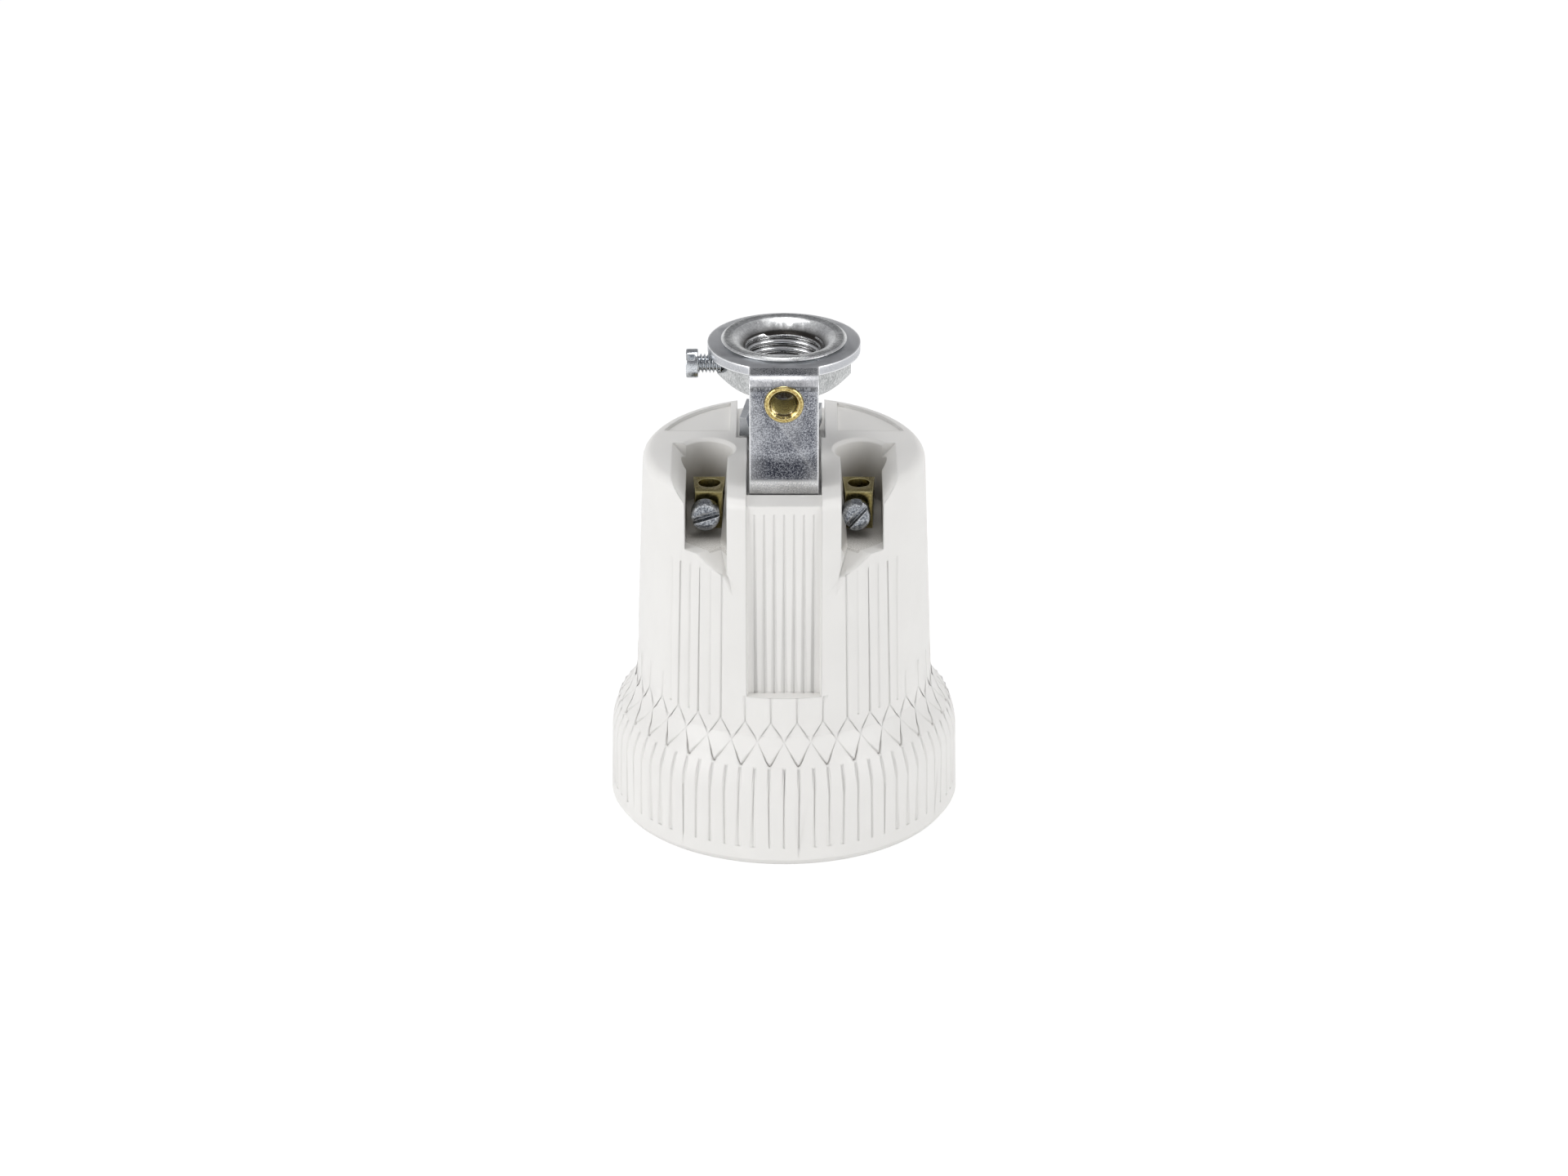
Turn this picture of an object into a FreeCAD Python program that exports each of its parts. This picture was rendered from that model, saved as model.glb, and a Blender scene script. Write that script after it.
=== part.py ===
import FreeCAD, Part
import math
import os
import re

import Sketcher
from FreeCAD import Placement, Rotation, Vector

# Porcelain lamp holder for an E27 lamp, with a steel strap bracket and an M10 x 1 entry ring.
# Millimetres. +Z is up, the rim of the lamp mouth rests on z = 0 and the holder's axis is the Z axis.
# The terminal windows face -Y, which is the front.

SIZES = {
    # porcelain body, turned outline
    "foot_r": 21.9,
    "rim_r": 22.5,
    "rim_edge": 0.8,
    "skirt_top_r": 22.3,
    "skirt_top_z": 9.6,
    "shoulder_round": 7.8,
    "shoulder_r": 20.1,
    "shoulder_z": 14.7,
    "neck_foot_r": 19.05,
    "neck_foot_z": 16.6,
    "neck_top_r": 17.9,
    "body_top": 48.1,
    "top_round": 1.4,
    # lamp mouth and socket cavity
    "mouth_r": 17.0,
    "seat_z": 9.5,
    "mouth_deep": 8.9,
    "socket_r": 14.2,
    "socket_floor": 33.0,
    # terminal wells, open to the front and to the top
    "well_x": 9.75,
    "well_half": 2.63,
    "well_floor": 40.0,
    "flare_z": 46.0,
    "flare_width": 1.8,
    "flare_back": 1.6,
    "entry_r": 3.3,
    "entry_front": 0.3,
    "entry_edge": 0.4,
    "sill_in": 14.6,
    "sill_slope": 1.1,
    # channel across the top for the bracket
    "channel_half": 4.7,
    "channel_floor": 46.4,
    "channel_front": 13.5,
    "lip_z": 47.5,
    "relief_left": 6.05,
    "relief_right": 5.25,
    "relief_start": 3.4,
    # recessed panels on the rear half of the top
    "panel_side": 6.9,
    "panel_front": 5.6,
    "panel_r": 16.3,
    "panel_depth": 0.4,
    # fluted recess below the channel
    "recess_half": 4.68,
    "recess_face": 16.95,
    "recess_foot": 21.9,
    "recess_pitch": 1.235,
    "recess_lines": 7,
    # flutes of the skirt, lattice of the shoulder and lines of the neck
    "flute_count": 72,
    "flute_foot": 2.5,
    "flute_top": 13.3,
    "flute_width": 0.56,
    "flute_depth": 0.32,
    "lattice_count": 36,
    "lattice_foot": 13.4,
    "lattice_mid": 16.1,
    "lattice_top": 18.5,
    "nick_top": 21.9,
    "line_top": 38.3,
    # bracket strap
    "strap_width": 8.6,
    "strap_thick": 1.2,
    "strap_reach": 13.0,
    "strap_foot_round": 3.0,
    "strap_head_round": 2.2,
    "foot_end": 13.0,
    "foot_corner": 1.0,
    "disc_r": 9.6,
    "disc_shift": 0.5,
    "disc_top": 62.9,
    # entry ring
    "ring_thread_r": 4.46,
    "ring_hex_r": 8.45,
    "ring_foot": 57.8,
    "ring_neck_r": 6.5,
    "ring_lip_r": 7.95,
    "ring_lip_thick": 0.55,
    "ring_funnel_r": 6.4,
    "ring_chamfer": 0.9,
    # lock screw of the ring
    "lock_z": 59.7,
    "lock_seat": 10.8,
    "lock_r": 1.2,
    "lock_length": 5.5,
    "lock_head_r": 1.84,
    "lock_head_thick": 1.53,
    # earth bush in the front leg
    "bush_z": 59.5,
    "bush_r": 2.0,
    "bush_flange_r": 2.45,
    "bush_flange_thick": 0.3,
    "bush_hole_r": 1.45,
    "bush_collar": 0.8,
    # earth screw and saddle at the rear foot
    "earth_x": 0.4,
    "earth_y": 7.6,
    "earth_r": 1.7,
    "earth_length": 6.5,
    "earth_head_r": 3.0,
    "earth_head_thick": 2.0,
    "saddle_length": 9.8,
    "saddle_width": 6.4,
    "saddle_thick": 1.2,
    "saddle_ear": 1.3,
    # screw, washer and nut that hold the bracket
    "fixing_r": 1.95,
    "fixing_head_r": 3.4,
    "fixing_head_thick": 2.2,
    "fixing_proud": 0.6,
    "counterbore_r": 4.2,
    "counterbore_deep": 3.8,
    "washer_r": 4.0,
    "washer_thick": 0.8,
    "nut_half": 3.5,
    "nut_thick": 3.2,
    # terminal blocks and their screws
    "block_x": 9.45,
    "block_width": 4.05,
    "block_front": 6.8,
    "block_pillar": 2.0,
    "block_rear": 1.7,
    "block_tall": 5.0,
    "block_foot": 2.2,
    "wire_y": 3.9,
    "wire_r": 1.4,
    "clamp_left_x": 9.9,
    "clamp_right_x": 9.02,
    "clamp_z": 42.8,
    "clamp_seat": 8.0,
    "clamp_r": 1.2,
    "clamp_length": 2.6,
    "clamp_head_r": 1.83,
    "clamp_head_thick": 1.9,
    # screws that hold the blocks from inside the socket
    "stud_r": 1.45,
    "stud_head_r": 2.6,
    "stud_head_thick": 1.8,
    # screw shell for the lamp
    "shell_r": 13.2,
    "shell_wall": 0.4,
    "shell_lip_r": 15.4,
    "shell_flange_r": 7.6,
    "shell_notch_r": 3.6,
    "thread_pitch": 3.62,
    "thread_turns": 4.5,
    "thread_start": 12.2,
    "thread_bead": 1.1,
    # centre contact
    "leaf_thick": 0.4,
    "leaf_width": 4.4,
    "leaf_tab": 2.4,
    "leaf_z": 28.0,
    "leaf_tip": 2.3,
    "leaf_play": 0.3,
    "button_r": 1.9,
    "button_drop": 1.1,
    "button_stem_r": 0.85,
    # clearances
    "running": 0.05,
    "loose": 0.25,
    "slot_width": 0.8,
    "slot_depth": 0.8,
}

doc = FreeCAD.newDocument("LampHolder")
sheet = doc.addObject("Spreadsheet::Sheet", "Sizes")
PARTS = []


def fill_sheet():
    """Write every driving size into the sheet, with its alias."""
    for row, (name, number) in enumerate(SIZES.items(), start=1):
        sheet.set("A%d" % row, name)
        sheet.set("B%d" % row, str(number))
        sheet.setAlias("B%d" % row, name)
    doc.recompute()


NAMES = re.compile(r"\b[a-z]+(?:_[a-z]+)*\b")


def linked(text):
    """Expression text with each size name pointing at the sheet."""
    def point(hit):
        name = hit.group(0)
        return "Sizes." + name if name in SIZES else name

    return NAMES.sub(point, text)


def size(text):
    """Number that an expression in the sheet's sizes has now."""
    return float(sheet.evalExpression(linked(text)))


def bind(target, prop, text):
    """Tie a property to an expression in the sheet's sizes."""
    target.setExpression(prop, linked(text))


def origin_item(body, role):
    """Plane or axis of the body's own origin."""
    return next(item for item in body.Origin.OriginFeatures if item.Role == role)


def new_body(name):
    """Empty body that becomes one piece of the holder."""
    body = doc.addObject("PartDesign::Body", name)
    body.Label = name
    return body


def new_sketch(body, name, plane, lift="0", shift="0"):
    """Sketch on an origin plane, lifted along its normal and shifted along its own X."""
    sketch = body.newObject("Sketcher::SketchObject", name)
    sketch.AttachmentSupport = (origin_item(body, plane), [""])
    sketch.MapMode = "FlatFace"
    if lift != "0":
        bind(sketch, ".AttachmentOffset.Base.z", lift)
    if shift != "0":
        bind(sketch, ".AttachmentOffset.Base.x", shift)
    return sketch


def pin_point(sketch, geo, pos, spot):
    """Fix a point of the sketch at two expressions."""
    for kind, axis, text in (("DistanceX", -2, spot[0]), ("DistanceY", -1, spot[1])):
        if text == "0":
            sketch.addConstraint(Sketcher.Constraint("PointOnObject", geo, pos, axis))
        else:
            index = sketch.addConstraint(Sketcher.Constraint(kind, geo, pos, size(text)))
            bind(sketch, "Constraints[%d]" % index, text)


def arc_between(start, end, radius, bulge):
    """Arc of the radius from start to end; bulge 1 turns left along the way, -1 right."""
    chord = end - start
    half = chord.Length / 2.0
    rise = math.sqrt(max(radius * radius - half * half, 0.0))
    left = Vector(-chord.y, chord.x, 0).normalize()
    centre = start + chord * 0.5 + left * (rise * bulge)
    angles = [math.atan2(p.y - centre.y, p.x - centre.x) for p in (start, end)]
    if bulge < 0:
        angles.reverse()
    circle = Part.Circle(centre, Vector(0, 0, 1), radius)
    return Part.ArcOfCircle(circle, angles[0], angles[1])


def add_outline(sketch, spots, arcs=None):
    """Closed outline through the spots; arcs maps a side's number to (radius, bulge)."""
    arcs = arcs or {}
    points = [Vector(size(x), size(y), 0) for x, y in spots]
    first = sketch.GeometryCount
    ends = []
    for number, start in enumerate(points):
        end = points[(number + 1) % len(points)]
        if number in arcs:
            radius, bulge = arcs[number]
            sketch.addGeometry(arc_between(start, end, size(radius), bulge), False)
            ends.append((1, 2) if bulge > 0 else (2, 1))
        else:
            sketch.addGeometry(Part.LineSegment(start, end), False)
            ends.append((1, 2))
    for number in range(len(points)):
        after = (number + 1) % len(points)
        sketch.addConstraint(Sketcher.Constraint(
            "Coincident", first + number, ends[number][1], first + after, ends[after][0]))
    for number, spot in enumerate(spots):
        pin_point(sketch, first + number, ends[number][0], spot)
    for number, (radius, bulge) in arcs.items():
        index = sketch.addConstraint(Sketcher.Constraint("Radius", first + number, size(radius)))
        bind(sketch, "Constraints[%d]" % index, radius)


def add_circle(sketch, spot, radius):
    """Circle at a spot of the sketch."""
    centre = Vector(size(spot[0]), size(spot[1]), 0)
    geo = sketch.addGeometry(Part.Circle(centre, Vector(0, 0, 1), size(radius)), False)
    pin_point(sketch, geo, 3, spot)
    index = sketch.addConstraint(Sketcher.Constraint("Radius", geo, size(radius)))
    bind(sketch, "Constraints[%d]" % index, radius)


def outline(body, name, plane, spots, arcs=None, lift="0", shift="0"):
    """Sketch that holds one closed outline."""
    sketch = new_sketch(body, name, plane, lift, shift)
    add_outline(sketch, spots, arcs)
    return sketch


def circles(body, name, plane, rounds, lift="0"):
    """Sketch that holds circles, each (x, y, radius)."""
    sketch = new_sketch(body, name, plane, lift)
    for across, up, radius in rounds:
        add_circle(sketch, (across, up), radius)
    return sketch


def box_spots(left, low, right, high):
    """Corners of an upright rectangle, as expressions."""
    return [(left, low), (right, low), (right, high), (left, high)]


def extrude(body, kind, name, sketch, length, flip=False, both=False):
    """Pad or Pocket of a sketch, one way or evenly to both sides."""
    feature = body.newObject("PartDesign::" + kind, name)
    feature.Profile = sketch
    feature.Type = "Length"
    feature.SideType = "Symmetric" if both else "One side"
    feature.Reversed = flip
    bind(feature, "Length", length)
    return feature


def turn(body, kind, name, sketch, axis="V_Axis"):
    """Revolution or Groove of a sketch about one of its own axes."""
    feature = body.newObject("PartDesign::" + kind, name)
    feature.Profile = sketch
    feature.ReferenceAxis = (sketch, [axis])
    feature.Angle = 360
    return feature


def mirror(body, name, features, plane):
    """Mirror image of features across a plane of the body."""
    copy = body.newObject("PartDesign::Mirrored", name)
    copy.Originals = features
    copy.MirrorPlane = (origin_item(body, plane), [""])
    body.Tip = copy
    return copy


def round_edges(body, name, base, wanted, radius):
    """Fillet on the edges of the base that the test accepts."""
    doc.recompute()
    edges = ["Edge%d" % (i + 1) for i, edge in enumerate(base.Shape.Edges) if wanted(edge)]
    fillet = body.newObject("PartDesign::Fillet", name)
    fillet.Base = (base, edges)
    bind(fillet, "Radius", radius)
    return fillet


def keep(item, placement=None):
    """List a finished piece, seated at its placement."""
    if placement is not None:
        item.Placement = placement
    PARTS.append(item)
    return item


def body_blank(body):
    """Turned blank of the porcelain: skirt, shoulder, tapered neck, mouth and socket."""
    profile = outline(body, "BodyProfile", "XZ_Plane", [
        ("mouth_r", "0"),
        ("foot_r", "0"),
        ("rim_r", "rim_edge"),
        ("skirt_top_r", "skirt_top_z"),
        ("shoulder_r", "shoulder_z"),
        ("neck_foot_r", "neck_foot_z"),
        ("neck_top_r", "body_top"),
        ("0", "body_top"),
        ("0", "socket_floor"),
        ("socket_r", "socket_floor"),
        ("socket_r", "seat_z"),
        ("shell_lip_r + 0.2", "seat_z"),
        ("shell_lip_r + 0.2", "mouth_deep"),
        ("mouth_r", "mouth_deep"),
    ], {3: ("shoulder_round", 1)})
    blank = turn(body, "Revolution", "BodyBlank", profile)
    top = size("body_top")
    rim = size("neck_top_r")

    def at_rim(edge):
        box = edge.BoundBox
        return abs(box.ZMin - top) < 0.01 and abs(box.ZMax - top) < 0.01 and abs(box.XMax - rim) < 0.01

    return round_edges(body, "TopRound", blank, at_rim, "top_round")


def cut_wells(body):
    """Keyhole wells: a slot open to the front, a round entry above, an outer flare and a sloped sill."""
    slot = outline(body, "WellSlot", "XZ_Plane", box_spots(
        "well_x - well_half", "well_floor", "well_x + well_half", "body_top + 1"))
    front = extrude(body, "Pocket", "WellFront", slot, "rim_r", flip=True)
    shape = outline(body, "EntryProfile", "XZ_Plane", [
        ("0", "well_floor"),
        ("entry_r", "well_floor"),
        ("entry_r", "body_top - entry_edge"),
        ("entry_r + entry_edge", "body_top"),
        ("entry_r + entry_edge", "body_top + 1"),
        ("0", "body_top + 1"),
    ], lift="entry_front", shift="well_x")
    entry = turn(body, "Groove", "WellEntry", shape)
    wedge = outline(body, "FlareProfile", "XZ_Plane", [
        ("well_x", "flare_z"),
        ("well_x + well_half", "flare_z"),
        ("well_x + well_half + flare_width", "body_top"),
        ("well_x + well_half + flare_width", "body_top + 1"),
        ("well_x", "body_top + 1"),
    ], lift="-flare_back")
    flare = extrude(body, "Pocket", "WellFlare", wedge, "rim_r", flip=True)
    slope = outline(body, "SillProfile", "YZ_Plane", [
        ("-sill_in", "well_floor"),
        ("-rim_r", "well_floor"),
        ("-rim_r", "well_floor - (rim_r - sill_in) * sill_slope"),
    ], lift="well_x")
    sill = extrude(body, "Pocket", "WellSill", slope, "2 * well_half", both=True)
    hole = circles(body, "StudHole", "XY_Plane",
                   [("block_x", "0", "stud_r + loose")], lift="socket_floor - 1")
    stud = extrude(body, "Pocket", "StudBore", hole, "well_floor - socket_floor + 2", flip=True)
    mirror(body, "WellsLeft", [front, entry, flare, sill, stud], "YZ_Plane")


def cut_channel(body):
    """Channel across the top for the bracket, with a front lip and room for the earth saddle."""
    floor = outline(body, "ChannelProfile", "XZ_Plane", box_spots(
        "-channel_half", "channel_floor", "channel_half", "body_top + 1"))
    extrude(body, "Pocket", "ChannelFront", floor, "channel_front", flip=True)
    back = outline(body, "ChannelBackProfile", "XZ_Plane", box_spots(
        "-channel_half", "channel_floor", "channel_half", "body_top + 1"))
    extrude(body, "Pocket", "ChannelBack", back, "rim_r")
    lip = outline(body, "LipProfile", "XZ_Plane", box_spots(
        "-channel_half", "lip_z", "channel_half", "body_top + 1"))
    extrude(body, "Pocket", "ChannelLip", lip, "rim_r", flip=True)
    relief = outline(body, "ReliefProfile", "XZ_Plane", box_spots(
        "-relief_left", "channel_floor", "relief_right", "body_top + 1"), lift="-relief_start")
    extrude(body, "Pocket", "ChannelRelief", relief, "rim_r")


def cut_holes(body):
    """Through hole and counterbore of the bracket screw, and the blind hole under the earth screw."""
    hole = circles(body, "FixingHole", "XY_Plane",
                   [("0", "0", "fixing_r + loose")], lift="socket_floor - 1")
    extrude(body, "Pocket", "FixingBore", hole, "channel_floor - socket_floor + 2", flip=True)
    bore = circles(body, "CounterboreCircle", "XY_Plane",
                   [("0", "0", "counterbore_r")], lift="socket_floor - 1")
    extrude(body, "Pocket", "Counterbore", bore, "counterbore_deep + 1", flip=True)
    room = circles(body, "EarthHole", "XY_Plane",
                   [("-earth_x", "earth_y", "earth_r + 2 * loose")], lift="channel_floor + 1")
    extrude(body, "Pocket", "EarthBore", room, "earth_length")


def cut_panels(body):
    """Shallow bare panels on the rear half of the top, with a border round each."""
    panel = outline(body, "PanelOutline", "XY_Plane", [
        ("panel_side", "panel_front"),
        ("sqrt(panel_r ^ 2 - panel_front ^ 2)", "panel_front"),
        ("panel_side", "sqrt(panel_r ^ 2 - panel_side ^ 2)"),
    ], {1: ("panel_r", 1)}, lift="body_top")
    right = extrude(body, "Pocket", "PanelRight", panel, "panel_depth")
    mirror(body, "PanelLeft", [right], "YZ_Plane")


def cut_recess(body):
    """Flat-faced recess that runs down the neck below the channel."""
    face = outline(body, "RecessOutline", "XZ_Plane", box_spots(
        "-recess_half", "recess_foot", "recess_half", "body_top + 1"), lift="recess_face")
    return extrude(body, "Pocket", "Recess", face, "rim_r - recess_face", flip=True)


def neck_radius(height):
    """Radius of the tapered neck at a height."""
    run = (height - size("neck_foot_z")) / (size("body_top") - size("neck_foot_z"))
    return size("neck_foot_r") + run * (size("neck_top_r") - size("neck_foot_r"))


def shoulder_radius(height):
    """Radius of the rounded shoulder at a height."""
    start = Vector(size("skirt_top_r"), size("skirt_top_z"), 0)
    end = Vector(size("shoulder_r"), size("shoulder_z"), 0)
    radius = size("shoulder_round")
    centre = arc_between(start, end, radius, 1).Center
    return centre.x + math.sqrt(radius ** 2 - (height - centre.y) ** 2)


def outer_radius(height):
    """Radius of the porcelain's outline at a height."""
    if height <= size("skirt_top_z"):
        run = (height - size("rim_edge")) / (size("skirt_top_z") - size("rim_edge"))
        return size("rim_r") + run * (size("skirt_top_r") - size("rim_r"))
    if height <= size("shoulder_z"):
        return shoulder_radius(height)
    if height <= size("neck_foot_z"):
        run = (height - size("shoulder_z")) / (size("neck_foot_z") - size("shoulder_z"))
        return size("shoulder_r") + run * (size("neck_foot_r") - size("shoulder_r"))
    return neck_radius(height)


def surface_spot(angle, height):
    """Point, outward normal and sideways direction on the outline, the angle counted from the front."""
    turned = math.radians(angle - 90.0)
    outward = Vector(math.cos(turned), math.sin(turned), 0)
    slope = (outer_radius(height + 0.05) - outer_radius(height - 0.05)) / 0.1
    normal = (outward - Vector(0, 0, slope)).normalize()
    point = outward * outer_radius(height) + Vector(0, 0, height)
    return point, normal


def vee_groove(stops, width, depth):
    """V-shaped cutter that follows stops (point, normal) along the surface."""
    rings = []
    for number, (point, normal) in enumerate(stops):
        before = stops[max(number - 1, 0)][0]
        after = stops[min(number + 1, len(stops) - 1)][0]
        side = (after - before).cross(normal).normalize() * width
        corners = [point - normal * depth, point + normal * depth + side, point + normal * depth - side]
        rings.append(Part.makePolygon(corners + corners[:1]))
    return Part.makeLoft(rings, True, True)


def skirt_flutes():
    """Cutters of the vertical flutes round the skirt."""
    foot = size("flute_foot")
    top = size("flute_top")
    bend = size("skirt_top_z")
    heights = [foot, bend, top]
    step = 360.0 / size("flute_count")
    return [vee_groove([surface_spot(step * k, z) for z in heights],
                       size("flute_width") / 2, size("flute_depth"))
            for k in range(int(size("flute_count")))]


def lattice_lines(lean):
    """Cutters of the slanting lines on the shoulder that lean one way."""
    foot = size("lattice_foot")
    middle = size("lattice_mid")
    bend = 0.5 * (foot + size("shoulder_z"))
    top = size("lattice_top")
    step = 360.0 / size("lattice_count")
    path = [(foot, 0.5), (bend, 0.5 + lean * 0.5 * (bend - foot) / (middle - foot))]
    path += [(middle, 0.5 + lean * 0.5), (top, 0.5 + lean)]
    return [vee_groove([surface_spot(step * (k + part), z) for z, part in path],
                       size("flute_width") / 2, size("flute_depth"))
            for k in range(int(size("lattice_count")))]


def neck_lines():
    """Cutters of the lines above the lattice: short all round, long below the windows."""
    step = 360.0 / size("flute_count")
    inner = math.degrees(math.asin((size("well_x") - size("well_half")) / size("neck_top_r")))
    outer = math.degrees(math.asin((size("well_x") + size("well_half")) / size("neck_top_r")))
    tools = []
    for k in range(int(size("flute_count"))):
        angle = step * k if step * k <= 180 else step * k - 360
        below = inner < abs(angle) < outer + 2 * step
        if not below and k % 2 == 0:
            continue
        heights = [size("lattice_top"), size("line_top") if below else size("nick_top")]
        tools.append(vee_groove([surface_spot(angle, z) for z in heights],
                                size("flute_width") / 2, size("flute_depth") * 0.8))
    return tools


def recess_lines():
    """Cutters of the vertical lines on the face of the recess."""
    half = (size("recess_lines") - 1) / 2
    tools = []
    for k in range(int(size("recess_lines"))):
        across = (k - half) * size("recess_pitch")
        stops = [(Vector(across, -size("recess_face"), z), Vector(0, -1, 0))
                 for z in (size("recess_foot") - 1.5, size("lip_z") - 1.2)]
        tools.append(vee_groove(stops, size("flute_width") / 2, size("flute_depth")))
    return tools


def engrave(base, tool_sets):
    """Engraved copy of the base; the grooves of one set don't cross each other."""
    shape = Part.Solid(Part.Shell(base.Shape.Faces))
    for tools in tool_sets:
        shape = shape.cut(Part.makeCompound(tools))
    piece = doc.addObject("Part::Feature", "EngravedBody")
    piece.Shape = shape.Solids[0] if len(shape.Solids) == 1 else shape
    return piece


def make_porcelain():
    """Porcelain body with its wells, channel, recess and relief."""
    body = new_body("PorcelainBlank")
    body_blank(body)
    cut_wells(body)
    cut_channel(body)
    cut_holes(body)
    cut_panels(body)
    body.Tip = cut_recess(body)
    doc.recompute()
    piece = engrave(body, [
        skirt_flutes(),
        lattice_lines(1),
        lattice_lines(-1),
        neck_lines() + recess_lines(),
    ])
    piece.Label = "porcelain_body"
    keep(piece)


def strap_outline(body):
    """Side outline of the bent strap in the YZ plane: head, front leg and foot."""
    head_in = "(strap_head_round - strap_thick)"
    foot_in = "(strap_foot_round - strap_thick)"
    spots = [
        ("0", "disc_top"),
        ("-strap_reach + strap_head_round", "disc_top"),
        ("-strap_reach", "disc_top - strap_head_round"),
        ("-strap_reach", "channel_floor + strap_foot_round"),
        ("-strap_reach + strap_foot_round", "channel_floor"),
        ("foot_end", "channel_floor"),
        ("foot_end", "channel_floor + strap_thick"),
        ("-strap_reach + strap_foot_round", "channel_floor + strap_thick"),
        ("-strap_reach + strap_thick", "channel_floor + strap_foot_round"),
        ("-strap_reach + strap_thick", "disc_top - strap_head_round"),
        ("-strap_reach + strap_head_round", "disc_top - strap_thick"),
        ("0", "disc_top - strap_thick"),
    ]
    arcs = {
        1: ("strap_head_round", 1),
        3: ("strap_foot_round", 1),
        7: (foot_in, -1),
        9: (head_in, -1),
    }
    return outline(body, "StrapOutline", "YZ_Plane", spots, arcs)


def make_strap():
    """Steel strap bent to a C: a disc on top, the front leg and a foot that runs to the rear."""
    body = new_body("bracket_strap")
    extrude(body, "Pad", "BentStrap", strap_outline(body), "strap_width", both=True)
    disc = circles(body, "DiscCircle", "XY_Plane", [("0", "-disc_shift", "disc_r")],
                   lift="disc_top - strap_thick")
    extrude(body, "Pad", "Disc", disc, "strap_thick")
    hole = circles(body, "NeckHole", "XY_Plane", [("0", "0", "ring_neck_r + running")], lift="disc_top + 1")
    extrude(body, "Pocket", "NeckBore", hole, "strap_thick + 2")
    eye = circles(body, "BushEye", "XZ_Plane", [("0", "bush_z", "bush_r + running")])
    extrude(body, "Pocket", "BushBore", eye, "strap_reach + 1", flip=True)
    foot = circles(body, "FootHoles", "XY_Plane", [
        ("0", "0", "fixing_r + loose"),
        ("-earth_x", "earth_y", "earth_r + running"),
    ], lift="channel_floor + strap_thick + 1")
    bored = extrude(body, "Pocket", "FootBores", foot, "strap_thick + 2")
    rear = size("foot_end")

    def at_end(edge):
        box = edge.BoundBox
        upright = box.ZMax - box.ZMin > 0.5 and box.YMax - box.YMin < 0.01
        return upright and abs(box.YMax - rear) < 0.01

    body.Tip = round_edges(body, "FootCorners", bored, at_end, "foot_corner")
    keep(body)


def hexagon(half, corner):
    """Corners of a hexagon with two of them on the X axis."""
    return [
        (corner, "0"),
        (corner + " / 2", half),
        ("-" + corner + " / 2", half),
        ("-" + corner, "0"),
        ("-" + corner + " / 2", "-" + half),
        (corner + " / 2", "-" + half),
    ]


def make_ring():
    """Entry ring: hexagon under the disc, neck through it, rolled lip and funnel above it."""
    body = new_body("bracket_ring")
    flats = outline(body, "HexOutline", "XY_Plane",
                    hexagon("ring_hex_r * sqrt(3) / 2", "ring_hex_r"), lift="ring_foot")
    extrude(body, "Pad", "Hex", flats, "disc_top - strap_thick - ring_foot")
    crown = outline(body, "CrownProfile", "XZ_Plane", [
        ("ring_thread_r", "ring_foot + 1"),
        ("ring_neck_r", "ring_foot + 1"),
        ("ring_neck_r", "disc_top"),
        ("ring_lip_r - 0.35", "disc_top"),
        ("ring_lip_r", "disc_top + 0.25"),
        ("ring_lip_r - 0.45", "disc_top + ring_lip_thick"),
        ("ring_funnel_r + 0.3", "disc_top + ring_lip_thick"),
        ("ring_funnel_r - 0.4", "disc_top + ring_lip_thick - 0.35"),
        ("ring_thread_r + 0.55", "disc_top - strap_thick + 0.4"),
        ("ring_thread_r", "disc_top - strap_thick - 0.1"),
    ])
    turn(body, "Revolution", "Crown", crown)
    edge = outline(body, "ChamferProfile", "XZ_Plane", [
        ("ring_hex_r - 1.4 * ring_chamfer", "ring_foot"),
        ("ring_hex_r + 1", "ring_foot"),
        ("ring_hex_r + 1", "ring_foot + ring_chamfer"),
    ])
    turn(body, "Groove", "FootChamfer", edge)
    bore = circles(body, "BoreCircle", "XY_Plane", [("0", "0", "ring_thread_r")], lift="ring_foot - 1")
    extrude(body, "Pocket", "Bore", bore, "disc_top - ring_foot", flip=True)
    tap = circles(body, "LockCircle", "YZ_Plane", [("0", "lock_z", "lock_r + running")])
    body.Tip = extrude(body, "Pocket", "LockBore", tap, "ring_hex_r + 1")
    keep(body)


def seat(x, y, z, way, spin=0.0):
    """Placement at a seat whose outward direction is way, turned about it by spin degrees."""
    lay = Rotation(Vector(0, 0, 1), way)
    return Placement(Vector(x, y, z), lay.multiply(Rotation(Vector(0, 0, 1), spin)))


def make_screw(name, prefix, length, spot, way, spin):
    """Slotted cheese-head screw; z = 0 is under the head and the shank runs down from there."""
    body = new_body(name)
    shank = prefix + "_r"
    head = prefix + "_head_r"
    tall = prefix + "_head_thick"
    profile = outline(body, name + "_profile", "XZ_Plane", [
        ("0", "-(%s)" % length),
        (shank + " - 0.3", "-(%s)" % length),
        (shank, "-(%s) + 0.3" % length),
        (shank, "0"),
        (head, "0"),
        (head, tall + " - 0.25"),
        (head + " - 0.25", tall),
        ("0", tall),
    ])
    turn(body, "Revolution", name + "_turned", profile)
    slot = outline(body, name + "_slot", "XY_Plane", box_spots(
        "-%s - 1" % head, "-slot_width / 2", head + " + 1", "slot_width / 2"), lift=tall)
    body.Tip = extrude(body, "Pocket", name + "_cut", slot, "slot_depth")
    keep(body, seat(spot[0], spot[1], spot[2], way, spin))


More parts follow.
